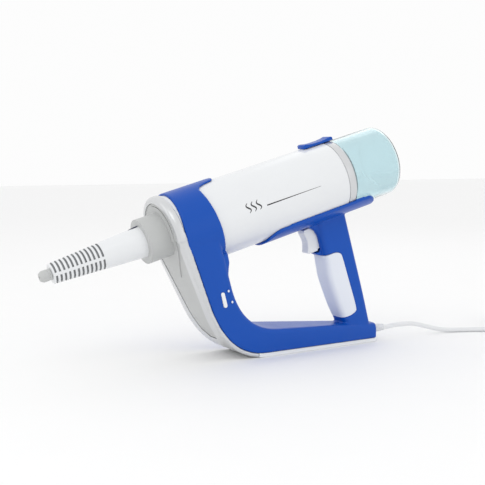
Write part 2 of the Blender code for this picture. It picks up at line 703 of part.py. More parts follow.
tank_valve = along_barrel("tank_valve", [
    (port + 0.7, tank_front + 8), (port + 0.7, tank_front + 5), (port + 3, tank_front + 5),
    (port + 3, tank_front + 3 + gap), (port + 0.7, tank_front + 3 + gap),
    (port + 0.7, port_end + gap), (1.5, port_end + gap), (1.5, tank_front + 8)], GREY, 20)
port_seal = along_barrel("port_seal", [(port + 2.2, port_end), (port + 2.2, port_end - 2.4),
                                       (port + 0.2, port_end - 2.4), (port + 0.2, port_end)],
                         RUBBER, 20)

# --- boiler, pump and hoses -----------------------------------------------------------------
boil = mm(BOILER_RADIUS)
boil_front = mm(BOILER_FRONT_S)
boil_rear = mm(BOILER_REAR_S)
NECK = 3.4
boil_wall = 5.0
chamber = mm(BOILER_BORE)
boiler = along_barrel("boiler", [
    (0, boil_front + boil_wall), (chamber, boil_front + boil_wall),
    (chamber, boil_rear - boil_wall), (NECK, boil_rear - boil_wall), (NECK, boil_rear),
    (boil - 2, boil_rear), (boil, boil_rear - 2), (boil, boil_front + 2),
    (boil - 2, boil_front), (0, boil_front)], ALUMINIUM, 32, closed=False)
SUPPORTS = [("boiler_support_front", boil_front + 8, boil),
            ("boiler_support_rear", boil_rear - 12, boil), ("pump_support", 0, 17)]
for support_name, at, hole in SUPPORTS:
    along_barrel(support_name, [(bore - gap, at + 4), (bore - gap, at), (hole + gap, at),
                                (hole + gap, at + 4)], GREY)
ELEMENT_RADIUS = 2.5 * MM
element_turns = 3
element_start = BOILER_FRONT_S + 17 * MM
element_length = BOILER_REAR_S - BOILER_FRONT_S - 36 * MM
element_points = []
for k in range(element_turns * 16 + 1):
    angle = 2 * math.pi * k / 16
    out = BOILER_RADIUS + ELEMENT_RADIUS + 2 * GAP
    element_points.append((element_start + element_length * k / (element_turns * 16),
                           out * math.cos(angle), out * math.sin(angle)))
heating_element = on_barrel(tube("heating_element", element_points, ELEMENT_RADIUS, STEEL))
thermostat = along_barrel("thermostat", [(0, boil_rear + 6), (5, boil_rear + 6),
                                         (7, boil_rear + 4), (7, boil_rear + gap),
                                         (0, boil_rear + gap)], DARK, 20, 15 * MM,
                          closed=False)
thermal_fuse = on_barrel(rod("thermal_fuse", (BOILER_REAR_S + 2.3 * MM, -8 * MM, -15 * MM),
                             (BOILER_REAR_S + 2.3 * MM, 8 * MM, -15 * MM), 2 * MM, STEEL, 12))
PUMP_FRONT = -24.0
PUMP_REAR = 32.0
pump = along_barrel("pump", [(0, PUMP_REAR), (5, PUMP_REAR), (5, 26), (17, 26), (17, -14),
                             (11, -14), (11, -20), (4, -20), (4, PUMP_FRONT),
                             (0, PUMP_FRONT)], DARK, 24, closed=False)
inlet_hose = on_barrel(tube("inlet_hose", [((PUMP_REAR + gap) * MM, 0, 0),
                                           ((PUMP_REAR + rear - 20) / 2 * MM, 0, 0.5 * MM),
                                           ((rear - 20 - gap) * MM, 0, 0)], 3.5 * MM, HOSE))
outlet_hose = on_barrel(tube("outlet_hose", [((PUMP_FRONT - gap) * MM, 0, 0),
                                             ((PUMP_FRONT + boil_rear) / 2 * MM, 0, MM / 2),
                                             ((boil_rear - 3) * MM, 0, 0)], 3 * MM, HOSE))

# --- nozzle ---------------------------------------------------------------------------------
root_r = mm(NOZZLE_ROOT_RADIUS)
nose_r = mm(NOZZLE_NOSE_RADIUS)
nose = mm(NOZZLE_NOSE_S)
face = mm(FACE_S)
SOCKET_BACK = front + 4.0
SOCKET_OUTER = 26.0
cup = front - 2.0
steam_pipe = along_barrel("steam_pipe", [(3.5, boil_front - gap), (3.5, cup),
                                         (1.5, cup), (1.5, boil_front - gap)], STEEL, 16,
                          NOZZLE_OFFSET)
nozzle_socket = along_barrel("nozzle_socket", [
    (SOCKET_OUTER, SOCKET_BACK), (SOCKET_OUTER, face - 4), (SOCKET_OUTER - 1.5, face - 5.5),
    (root_r + 1.2, face - 5.5), (root_r + 0.6, cup), (3.5 + gap, cup),
    (3.5 + gap, SOCKET_BACK)], DARK, 40, NOZZLE_OFFSET)
nozzle_root = cup - gap
TAPER_START = face - 3


def nozzle_radius(s):
    """Outer radius of the nozzle at s, in millimetres."""
    share = min(max((TAPER_START - s) / (TAPER_START - nose), 0.0), 1.0)
    return root_r + (nose_r - root_r) * share


groove = mm(RIB_PITCH) * 0.42
nozzle_profile = [(root_r, nozzle_root), (root_r, TAPER_START)]
for k in range(RIB_COUNT):
    edge = nose + mm(RIB_PITCH) * (RIB_COUNT - k) - 1.2
    for at, deep in ((edge, 0), (edge, 2.2), (edge - groove, 2.2), (edge - groove, 0)):
        nozzle_profile.append((nozzle_radius(at) - deep, at))
STEAM_BORE = 4.0
nozzle_profile += [(nose_r, nose), (STEAM_BORE, nose), (STEAM_BORE, nose + 10),
                   (nose_r - 4.2, nose + 14), (nose_r - 1.5, nose + 60),
                   (nose_r - 1.5, nozzle_root - 12), (STEAM_BORE, nozzle_root - 8),
                   (STEAM_BORE, nozzle_root - 2.6),
                   (11.3, nozzle_root - 2.6), (11.3, nozzle_root)]
nozzle = along_barrel("nozzle", nozzle_profile, WHITE, 20, NOZZLE_OFFSET)
ribs_rear = nose + mm(RIB_PITCH) * RIB_COUNT + 2
for sign in (-1, 1):
    spine = [(nose * MM, sign * 6 * MM), (nose * MM, sign * (nose_r - 0.1) * MM),
             (ribs_rear * MM, sign * (nozzle_radius(ribs_rear) - 0.1) * MM),
             (ribs_rear * MM, sign * 8 * MM)]
    add(nozzle, on_barrel_prism("nozzle_spine", spine, NOZZLE_OFFSET - 1.6 * MM,
                                NOZZLE_OFFSET + 1.6 * MM))
RELEASE_TIP_S = -201.0 * MM
RELEASE_REAR_S = -173.0 * MM
RELEASE_HALF = 3.4 * MM
release_low = NOZZLE_OFFSET + 14.8 * MM


def release_plan(extra):
    """Plan outline of the release lever: a narrow wedge with its point at the front."""
    return [(RELEASE_TIP_S - extra, -0.6 * MM - extra), (RELEASE_TIP_S - extra, 0.6 * MM + extra),
            (RELEASE_REAR_S + extra, RELEASE_HALF + extra),
            (RELEASE_REAR_S + extra, -RELEASE_HALF - extra)]


cut(nozzle, on_barrel_prism("release_pocket", release_plan(GAP), release_low - 2.2 * MM,
                            40 * MM))
nozzle_release = on_barrel_prism("nozzle_release", release_plan(0.0), release_low, 30 * MM,
                                 BLUE)
release_top = along_barrel("release_top", [
    (root_r + 1.4, TAPER_START + 5), (root_r + 1.0, TAPER_START),
    (nozzle_radius(mm(RELEASE_TIP_S)), mm(RELEASE_TIP_S) - 2), (0, mm(RELEASE_TIP_S) - 2),
    (0, TAPER_START + 5)], None, 40, NOZZLE_OFFSET, closed=False)
common(nozzle_release, release_top)
nozzle_seal = along_barrel("nozzle_seal", [(11, nozzle_root), (11, nozzle_root - 2.3),
                                           (7, nozzle_root - 2.3), (7, nozzle_root)],
                           RUBBER, 20, NOZZLE_OFFSET)
tip_r = mm(TIP_RADIUS)
tip_end = nose - mm(TIP_LENGTH)
nozzle_tip = along_barrel("nozzle_tip", [(tip_r, nose - gap), (tip_r, tip_end + 2.5),
                                         (tip_r - 1.6, tip_end), (1.6, tip_end),
                                         (1.6, nose - gap)], GREY, 20, NOZZLE_OFFSET)

# --- nose: trim frame, panel and nose plate ---------------------------------------------------
TRIM_WIDTH = 7.0 * MM
PANEL_DEPTH = 3.0 * MM
PANEL_SET_BACK = 1.0 * MM
NOSE_START = 0.2 * MM                # how far inside the nose disc the leg slab starts
COLLAR_CLEARANCE = 1.8 * MM          # how far the leg slab starts ahead of the collar
LAST = 7                             # stations 0 to 6 carry the nose, the rest the sole
face_x, face_z = world(FACE_S, 0.0)


nose_space = along_barrel("nose_space", [(0, rear), (mm(CLEAR_RADIUS), rear),
                                         (mm(CLEAR_RADIUS), front - gap), (0, front - gap)],
                          None, 48, closed=False)


def nose_block(name, set_back, depth, mat):
    """The front of the nose, between a set-back face and a depth; depth 0 is full depth."""
    outer = [a + (b - a).normalized() * set_back for a, b in zip(TRIM_EDGE, OUTER_EDGE)]
    if depth:
        inner_edge = [a + (b - a).normalized() * (set_back + depth)
                      for a, b in zip(TRIM_EDGE, OUTER_EDGE)]
        back = FACE_S + set_back + depth
    else:
        inner_edge = [b + (a - b).normalized() * GAP for a, b in zip(TRIM_EDGE, OUTER_EDGE)]
        back = COLLAR_FRONT_S - 2 * GAP
    along = (inner_edge[0] - outer[0]).normalized()
    outer[0] = outer[0] + along * NOSE_START
    inner_edge[0] = inner_edge[0] - along * (NOSE_START if depth else COLLAR_CLEARANCE)
    block = loft(name, outer[:LAST], inner_edge[:LAST], HALF_WIDTHS[:LAST], 0, mat,
                 outer_round=0.3 * MM if depth else 5 * MM, inner_round=0.3 * MM)
    r = mm(COLLAR_RADIUS)
    start = mm(FACE_S + set_back)
    round_off = 0.3 if depth else 5.0
    disc = along_barrel(name + "_disc", [
        (0, mm(back)), (r, mm(back)), (r, start + round_off), (r - 0.3 * round_off,
                                                              start + 0.3 * round_off),
        (r - round_off, start), (0, start)], None, 48, closed=False)
    common(disc, on_barrel(box(name + "_disc_top", (-0.2, -0.1, -LEG_TOP_V * 0.6),
                               (0.0, 0.1, 0.1), None)))
    cut(block, nose_space)
    return add(block, disc)


def panel_outline(inset):
    """Front outline of the panel in (y, z): an arch over the nose, narrowing down the leg."""
    top = COLLAR_RADIUS - TRIM_WIDTH - inset
    tall = math.cos(BARREL_PITCH)
    right = [(top * math.cos(math.radians(a)), face_z + top * tall * math.sin(math.radians(a)))
             for a in range(90, -1, -15)]
    for k in (1, 2, 3, 4, 5):
        drop = (TRIM_EDGE[k] + OUTER_EDGE[k]) / 2
        right.append((HALF_WIDTHS[k] - TRIM_WIDTH * (1 + 0.35 * k) - inset, drop.y))
    low = (TRIM_EDGE[6] + OUTER_EDGE[6]) / 2
    right.append((HALF_WIDTHS[6] * 0.25 - inset, low.y + 5 * MM + inset))
    left = [(-y, z) for y, z in reversed(right[1:])]
    return right + left


def drop_outline(inset):
    """Front outline of the nose plate: a round drop that ends in a point below."""
    r = 34 * MM - inset
    tall = math.cos(BARREL_PITCH)
    middle = NOZZLE_OFFSET
    points = []
    for a in range(-30, 211, 20):
        angle = math.radians(a)
        points.append((r * math.cos(angle), face_z + tall * (middle + r * math.sin(angle))))
    points.append((-2 * MM, face_z + tall * (-49 * MM + inset)))
    points.append((2 * MM, face_z + tall * (-49 * MM + inset)))
    return points


def through_nose(name, outline):
    """A front outline made a block that runs through the nose."""
    return prism(name, outline, -260 * MM, -40 * MM, None, "YZ")


front_trim = nose_block("front_trim", 0.0, 0.0, SILVER)
cut(front_trim, through_nose("trim_opening", panel_outline(0.0)))
front_panel = nose_block("front_panel", PANEL_SET_BACK, PANEL_DEPTH, GREY)
common(front_panel, through_nose("panel_edge", panel_outline(GAP)))
cut(front_panel, through_nose("plate_opening", drop_outline(0.0)))
nose_plate = nose_block("nose_plate", 0.0, PANEL_DEPTH + 1 * MM, GREY)
common(nose_plate, through_nose("plate_edge", drop_outline(GAP)))
socket_hole = along_barrel("socket_hole", [
    (0, front + 20), (SOCKET_OUTER + gap, front + 20), (SOCKET_OUTER + gap, face - 20),
    (0, face - 20)], None, 40, NOZZLE_OFFSET, closed=False)
cut(nose_plate, socket_hole)

sole_start = [Vector(p) for p in TRIM_EDGE[LAST - 1:]]
sole_top = [b + (a - b).normalized() * GAP for a, b in zip(TRIM_EDGE, OUTER_EDGE)][LAST - 1:]
step = GAP / (sole_start[1] - sole_start[0]).length
sole_start[0] = sole_start[0].lerp(sole_start[1], step)
sole_top[0] = sole_top[0].lerp(sole_top[1], step)
base_trim = loft("base_trim", sole_start, sole_top, HALF_WIDTHS[LAST - 1:], 0, WHITE,
                 outer_round=1 * MM, inner_round=0.3 * MM)

# --- handle: grip insert, trigger and switch ---------------------------------------------------
grip_insert = loft("grip_insert", HANDLE_REAR[2:], HANDLE_FORE[2:], HANDLE_WIDTHS[2:], 0, SOFT,
                   outer_round=4 * MM, inner_round=6 * MM)
common(grip_insert, grip_zone("grip_edge", GAP))
cut(grip_insert, loft("grip_back", HANDLE_REAR[2:], HANDLE_FORE[2:], HANDLE_WIDTHS[2:], 0, None,
                      outer_inset=-5 * MM, inner_inset=GRIP_SKIN, side_inset=GRIP_SKIN,
                      outer_round=4 * MM, inner_round=5 * MM, reach=2 * MM))

hand = mm(HANDLE_FRONT_S)
trigger_side = [(hand - 16, -49.4), (hand - 17, -52), (hand - 14.8, -59), (hand - 14.4, -65),
                (hand - 16, -73), (hand - 17.5, -78.5), (hand - 15, -80.5), (hand - 3, -80.5),
                (hand - 1.5, -78), (hand + 10, -78), (hand + 10, -69), (hand + 16, -67),
                (hand + 16.9, -59), (hand + 13, -50.5), (hand + 7, -49.3)]
trigger = on_barrel(prism("trigger", [(s * MM, v * MM) for s, v in trigger_side],
                          -TRIGGER_HALF_WIDTH, TRIGGER_HALF_WIDTH, WHITE))
pivot_s, pivot_v = TRIGGER_PIVOT
cut(trigger, on_barrel(rod("pivot_hole", (pivot_s, -20 * MM, pivot_v),
                           (pivot_s, 20 * MM, pivot_v), PIN_RADIUS + GAP, None)))
pin_half = HANDLE_HALF_WIDTH - WALL - GAP
trigger_pin = on_barrel(rod("trigger_pin", (pivot_s, -pin_half, pivot_v),
                            (pivot_s, pin_half, pivot_v), PIN_RADIUS, STEEL, 16))
SWITCH_S = 54.0
PLUNGER_V = -62 * MM
switch_half = HANDLE_HALF_WIDTH - WALL - GAP
microswitch = on_barrel(box("microswitch", (SWITCH_S * MM, -switch_half, -66.8 * MM),
                            ((SWITCH_S + 12) * MM, switch_half, -57 * MM), DARK))
plunger_hole = on_barrel(rod("plunger_hole", ((SWITCH_S - 1) * MM, 0, PLUNGER_V),
                             ((SWITCH_S + 3) * MM, 0, PLUNGER_V), 1.8 * MM, None, 12))
cut(microswitch, plunger_hole)
switch_plunger = on_barrel(rod("switch_plunger", ((hand + 16.9 + gap + 0.4) * MM, 0, PLUNGER_V),
                               ((SWITCH_S + 0.4) * MM, 0, PLUNGER_V), 1.5 * MM, WHITE, 12))
spring("trigger_spring", ((hand + 10) * MM + GAP, 0, -73.5 * MM),
       ((64 - mm(BOSS_RADIUS)) * MM - GAP, 0, -73.5 * MM), 3 * MM, 0.4 * MM, 5, STEEL)

# --- base: board, indicator and cord entry -----------------------------------------------------
floor_z = BASE_TRIM_HEIGHT + WALL + GAP
circuit_board = box("circuit_board", (16 * MM, -13 * MM, floor_z),
                    (66 * MM, 13 * MM, floor_z + 1.6 * MM), BOARD)
board_top = floor_z + 1.6 * MM + GAP
relay = box("relay", (20 * MM, -8 * MM, board_top), (38 * MM, 6 * MM, board_top + 10 * MM), BLUE,
            0.6 * MM)
capacitor = turned("capacitor", [(0, 9 * MM), (5 * MM, 9 * MM), (5 * MM, 0), (0, 0)], SILVER, 16,
                   axis=(0, 0, 1), at=(50 * MM, 0, board_top), closed=False)
window_side = half_width_at(WINDOW_ENDS[0].x, WINDOW_ENDS[0].y)
indicator_window = prism("indicator_window", stadium(WINDOW_ENDS, WINDOW_RADIUS),
                         -window_side - 0.6 * MM, -window_side + 4 * MM, WHITE)
window_middle = (WINDOW_ENDS[0] + WINDOW_ENDS[1]) / 2
indicator_lamp = box("indicator_lamp", (window_middle.x - 4 * MM, -window_side + 4 * MM + GAP,
                                        window_middle.y - 5 * MM),
                     (window_middle.x + 4 * MM, -window_side + 8 * MM,
                      window_middle.y + 5 * MM), BOARD)
relief = mm(RELIEF_RADIUS)
rear_x = mm(BASE_REAR_X)
RELIEF_END = rear_x + 21
strain_relief = turned("strain_relief", [(r * MM, h * MM) for r, h in [
    (0, RELIEF_END), (4.2, RELIEF_END), (relief, rear_x + 1), (relief, rear_x - 2.8),
    (relief + 0.6, rear_x - 2.8), (relief + 0.6, rear_x - 5.4), (0, rear_x - 5.4)]], WHITE, 20,
                       at=(0, 0, CORD_EXIT_Z), closed=False)
lead_points = [((rear_x - 5.7) * MM, 0, CORD_EXIT_Z), (115 * MM, 0, 16 * MM),
               (106 * MM, 0, 23 * MM), (103 * MM, 0, 36 * MM)]
for s, v in ((59, -150), (57, -115), (53, -90), (50, -80)):
    x, z = world(s * MM, v * MM)
    lead_points.append((x, 0, z))
inner_lead = tube("inner_lead", smooth_path(lead_points, 3), 2.2 * MM, CORD)

# --- cord, coil and plug ------------------------------------------------------------------------
coil_x, coil_y = COIL_CENTRE
side_y = coil_y - COIL_OUTER - GAP - CORD_RADIUS
LOW = CORD_RADIUS + 0.2 * MM
CORD_ROUTE = [(RELIEF_END * MM + GAP, 0, CORD_EXIT_Z), (0.160, 0, CORD_EXIT_Z),
              (0.176, 0, 0.0163), (0.200, -0.0005, 0.0158), (0.222, -0.0015, 0.0106), (0.243, -0.004, 0.0052),
              (0.262, -0.008, LOW), (0.290, -0.018, LOW), (0.320, -0.034, LOW),
              (0.352, side_y + 0.007, LOW), (0.375, side_y + 0.001, LOW),
              (coil_x, side_y, LOW)]
route = [Vector((p.x, p.y, max(p.z, LOW))) for p in smooth_path(CORD_ROUTE, 3)]
power_cord = tube("power_cord", route, CORD_RADIUS, CORD)
cord_coil = turned("cord_coil", [(COIL_OUTER, COIL_HEIGHT - 2 * MM), (COIL_OUTER, 2 * MM),
                                 (COIL_OUTER - 2 * MM, 0), (COIL_INNER + 2 * MM, 0),
                                 (COIL_INNER, 2 * MM), (COIL_INNER, COIL_HEIGHT - 2 * MM),
                                 (COIL_INNER + 2 * MM, COIL_HEIGHT),
                                 (COIL_OUTER - 2 * MM, COIL_HEIGHT)], CORD, 24,
                   axis=(0, 0, 1), at=(coil_x, coil_y, 0))
PLUG_HALF = 11.5 * MM
plug_z = COIL_HEIGHT + GAP
plug_y = coil_y - (COIL_INNER + COIL_OUTER) / 2
plug_body = box("plug_body", (coil_x - 4 * MM, plug_y - PLUG_HALF, plug_z),
                (coil_x + 27 * MM, plug_y + PLUG_HALF, plug_z + 16 * MM), WHITE, 3 * MM)
for pin_name, sign in (("plug_pin_left", -1), ("plug_pin_right", 1)):
    middle = plug_y + sign * 6.35 * MM
    box(pin_name, (coil_x + 27 * MM + GAP, middle - 0.75 * MM, plug_z + 5 * MM),
        (coil_x + 44 * MM, middle + 0.75 * MM, plug_z + 11 * MM), BRASS)
tail_z = COIL_HEIGHT + CORD_RADIUS + GAP
TAIL_ROUTE = [(coil_x - 34 * MM, plug_y + 17 * MM, tail_z),
              (coil_x - 28 * MM, plug_y + 8 * MM, tail_z + 0.5 * MM),
              (coil_x - 19 * MM, plug_y + 1 * MM, tail_z + 3 * MM),
              (coil_x - 11 * MM, plug_y, plug_z + 8 * MM),
              (coil_x - 4.6 * MM, plug_y, plug_z + 8 * MM)]
cord_tail = tube("cord_tail", smooth_path(TAIL_ROUTE, 3), CORD_RADIUS, CORD)

# --- case screws --------------------------------------------------------------------------------
for number, ((x, z), width) in enumerate(SCREWS):
    seat = width - 4 * MM
    screw = rod("case_screw_%d" % (number + 1), (x, seat + GAP, z), (x, seat + 2.6 * MM, z),
                SCREW_HEAD_RADIUS, STEEL, 14)
    add(screw, rod("screw_shank_%d" % (number + 1), (x, -8 * MM, z), (x, seat + 1 * MM, z),
                   SCREW_RADIUS, None, 10))
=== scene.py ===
"""Handheld steam unit of a steam mop: looks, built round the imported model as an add-on."""
import math

import bmesh
import bpy
from mathutils import Matrix, Vector


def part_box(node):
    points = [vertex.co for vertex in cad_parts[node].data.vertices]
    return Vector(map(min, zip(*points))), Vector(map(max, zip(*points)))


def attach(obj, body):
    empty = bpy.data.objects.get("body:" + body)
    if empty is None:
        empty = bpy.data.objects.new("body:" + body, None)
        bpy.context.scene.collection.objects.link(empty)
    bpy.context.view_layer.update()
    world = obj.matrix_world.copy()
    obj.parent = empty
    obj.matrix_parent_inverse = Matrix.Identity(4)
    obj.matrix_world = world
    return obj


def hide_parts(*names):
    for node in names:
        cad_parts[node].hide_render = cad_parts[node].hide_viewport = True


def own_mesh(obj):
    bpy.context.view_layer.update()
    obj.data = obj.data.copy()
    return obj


bl_info = {
    "name": "Steam Mop Hand Unit",
    "version": (1, 0, 0),
    "blender": (4, 5, 0),
    "location": "3D View > Sidebar > Steam Mop",
    "description": "Builds the visible pieces of a handheld steam unit",
    "category": "Object",
}

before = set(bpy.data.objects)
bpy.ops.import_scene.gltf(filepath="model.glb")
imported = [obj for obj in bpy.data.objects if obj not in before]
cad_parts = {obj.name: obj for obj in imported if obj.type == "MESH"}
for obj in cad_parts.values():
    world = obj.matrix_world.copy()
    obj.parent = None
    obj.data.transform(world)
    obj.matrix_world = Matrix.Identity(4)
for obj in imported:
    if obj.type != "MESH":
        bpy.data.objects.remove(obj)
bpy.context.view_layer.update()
MM = 0.001

# --- shared sizes -----------------------------------------------------------------------------
PITCH = math.radians(16.0)          # barrel axis above the floor's plane
AXIS_Z = 189.6 * MM                 # barrel axis height at s = 0
BARREL_R = 45.0 * MM
SKIN_R = 47.5 * MM                  # outside of the collar and its tongue
CRADLE_R = 48.3 * MM
SEAT_R = 45.3 * MM                  # inside of the collar and the cradle
FACE_S = -165.0 * MM
COLLAR_FRONT_S = -154.0 * MM
BARREL_REAR_S = 70.0 * MM
GAP = 0.3 * MM
NOZZLE_V = 3.0 * MM
LEG_TOP_V = 5.0 * MM
BASE_REAR_X = 133.0 * MM
TRIM_TOP_Z = 5.0 * MM
HANDLE_FRONT_S = 30.0 * MM
HANDLE_REAR_S = 73.0 * MM
HANDLE_HALF = 16.5 * MM
TANK_FRONT_S = 81.1 * MM
TANK_LENGTH = 71.0 * MM
TANK_R = 43.8 * MM
CORD_R = 3.0 * MM
COIL_AT = (396.0 * MM, -8.0 * MM)
BARREL = Matrix.Translation((0, 0, AXIS_Z)) @ Matrix.Rotation(-PITCH, 4, "Y")


def at(s, v, y=0.0):
    """Row-frame point from barrel coordinates: s along the axis, v above it."""
    return BARREL @ Vector((s, y, v))


# --- settings -----------------------------------------------------------------------------------
def length(name, default, description):
    """A size in metres for the sidebar."""
    return bpy.props.FloatProperty(name=name, default=default, description=description,
                                   unit="LENGTH", precision=4, min=0.0)


def colour(name, default, description):
    """A finish colour for the sidebar."""
    return bpy.props.FloatVectorProperty(name=name, default=default, description=description,
                                         subtype="COLOR", size=3, min=0.0, max=1.0)


class SteamMopSizes(bpy.types.PropertyGroup):
    """Sizes that change how the unit looks but not how it fits together."""

    shell_grain: length("Shell mesh", 1.0 * MM, "Facet size of the blue mouldings")
    rib_groove: length("Groove depth", 2.2 * MM, "Depth of the grooves round the nozzle")
    mark_height: length("Print height", 0.08 * MM, "How far printed marks stand proud")
    rib_count: bpy.props.IntProperty(name="Ribs", default=12, min=1, description="Ribs on the nozzle")


class SteamMopColours(bpy.types.PropertyGroup):
    """Colours of the visible finishes."""

    blue: colour("Blue", (0.0, 0.075, 0.44), "Frame mouldings and latch")
    white: colour("White", (0.80, 0.815, 0.83), "Barrel, nozzle and trigger")
    silver: colour("Silver", (0.66, 0.67, 0.68), "Ring and nose trim")
    grey: colour("Grey", (0.52, 0.53, 0.525), "Nose panel and nozzle socket")
    water: colour("Tank", (0.74, 0.875, 0.905), "Tinted clear tank")
    grip: colour("Grip", (0.79, 0.81, 0.85), "Soft grip insert")
    cable: colour("Cable", (0.80, 0.81, 0.82), "Cord jacket and strain relief")
    ink: colour("Ink", (0.02, 0.02, 0.022), "Printed marks")


def sizes():
    """The unit's size settings."""
    return bpy.context.scene.steam_mop_sizes


def tints():
    """The unit's colour settings."""
    return bpy.context.scene.steam_mop_colours


# --- shader groups and materials ------------------------------------------------------------------
def node(tree, kind, **values):
    """A shader node with its plain inputs set by name or number."""
    made = tree.nodes.new(kind)
    for key, value in values.items():
        made.inputs[key.replace("_", " ")].default_value = value
    return made


def moulding_group():
    """Shader group: fine spark-eroded grain, slow tone drift and rubbed spots."""
    found = bpy.data.node_groups.get("moulding_surface")
    if found:
        return found
    tree = bpy.data.node_groups.new("moulding_surface", "ShaderNodeTree")
    for label, kind, default in (("Grain Scale", "NodeSocketFloat", 900.0),
                                 ("Drift Scale", "NodeSocketFloat", 14.0),
                                 ("Colour", "NodeSocketColor", (1, 1, 1, 1)),
                                 ("Drift", "NodeSocketFloat", 0.05),
                                 ("Roughness", "NodeSocketFloat", 0.3),
                                 ("Rub", "NodeSocketFloat", 0.06)):
        socket = tree.interface.new_socket(label, in_out="INPUT", socket_type=kind)
        socket.default_value = default
    for label, kind in (("Colour", "NodeSocketColor"), ("Roughness", "NodeSocketFloat"),
                        ("Height", "NodeSocketFloat")):
        tree.interface.new_socket(label, in_out="OUTPUT", socket_type=kind)
    inside = tree.nodes.new("NodeGroupInput")
    outside = tree.nodes.new("NodeGroupOutput")
    where = tree.nodes.new("ShaderNodeTexCoord")
    grain = node(tree, "ShaderNodeTexNoise", Detail=3.0, Roughness=0.6)
    drift = node(tree, "ShaderNodeTexNoise", Detail=2.0, Roughness=0.5)
    rub = node(tree, "ShaderNodeTexNoise", Scale=55.0, Detail=6.0, Roughness=0.7)
    link = tree.links.new
    for texture in (grain, drift, rub):
        link(where.outputs["Object"], texture.inputs["Vector"])
    link(inside.outputs["Grain Scale"], grain.inputs["Scale"])
    link(inside.outputs["Drift Scale"], drift.inputs["Scale"])
    spread = tree.nodes.new("ShaderNodeMapRange")
    link(drift.outputs["Fac"], spread.inputs["Value"])
    spread.inputs["From Min"].default_value = 0.3
    spread.inputs["From Max"].default_value = 0.7
    shade = tree.nodes.new("ShaderNodeMath")
    shade.operation = "MULTIPLY"
    link(spread.outputs["Result"], shade.inputs[0])
    link(inside.outputs["Drift"], shade.inputs[1])
    darker = tree.nodes.new("ShaderNodeMix")
    darker.data_type = "RGBA"
    darker.blend_type = "MULTIPLY"
    link(shade.outputs[0], darker.inputs["Factor"])
    link(inside.outputs["Colour"], darker.inputs[6])
    darker.inputs[7].default_value = (0.55, 0.56, 0.6, 1.0)
    link(darker.outputs[2], outside.inputs["Colour"])
    spots = tree.nodes.new("ShaderNodeMapRange")
    link(rub.outputs["Fac"], spots.inputs["Value"])
    spots.inputs["From Min"].default_value = 0.45
    spots.inputs["From Max"].default_value = 0.75
    amount = tree.nodes.new("ShaderNodeMath")
    amount.operation = "MULTIPLY"
    link(spots.outputs["Result"], amount.inputs[0])
    link(inside.outputs["Rub"], amount.inputs[1])
    total = tree.nodes.new("ShaderNodeMath")
    link(inside.outputs["Roughness"], total.inputs[0])
    link(amount.outputs[0], total.inputs[1])
    link(total.outputs[0], outside.inputs["Roughness"])
    link(grain.outputs["Fac"], outside.inputs["Height"])
    return tree


def moulded(name, tint, roughness, coat=0.0, metallic=0.0, grain=900.0, depth=0.02, drift=0.06,
            transmission=0.0, subsurface=0.0, specular=0.5):
    """A finish with grain in its bump, drift in its colour and rubbed spots in its gloss."""
    found = bpy.data.materials.get(name)
    if found:
        return found
    mat = bpy.data.materials.new(name)
    mat.use_nodes = True
    tree = mat.node_tree
    shader = tree.nodes["Principled BSDF"]
    surface = tree.nodes.new("ShaderNodeGroup")
    surface.node_tree = moulding_group()
    surface.inputs["Colour"].default_value = (*tint, 1.0)
    surface.inputs["Roughness"].default_value = roughness
    surface.inputs["Grain Scale"].default_value = grain
    surface.inputs["Drift"].default_value = drift
    bump = node(tree, "ShaderNodeBump", Strength=0.35, Distance=depth * MM)
    tree.links.new(surface.outputs["Colour"], shader.inputs["Base Color"])
    tree.links.new(surface.outputs["Roughness"], shader.inputs["Roughness"])
    tree.links.new(surface.outputs["Height"], bump.inputs["Height"])
    tree.links.new(bump.outputs["Normal"], shader.inputs["Normal"])
    shader.inputs["Metallic"].default_value = metallic
    shader.inputs["Coat Weight"].default_value = coat
    shader.inputs["Specular IOR Level"].default_value = specular
    shader.inputs["Coat Roughness"].default_value = 0.08
    shader.inputs["Transmission Weight"].default_value = transmission
    shader.inputs["Subsurface Weight"].default_value = subsurface
    shader.inputs["Subsurface Scale"].default_value = 0.002
    mat.diffuse_color = (*tint, 1.0)
    return mat


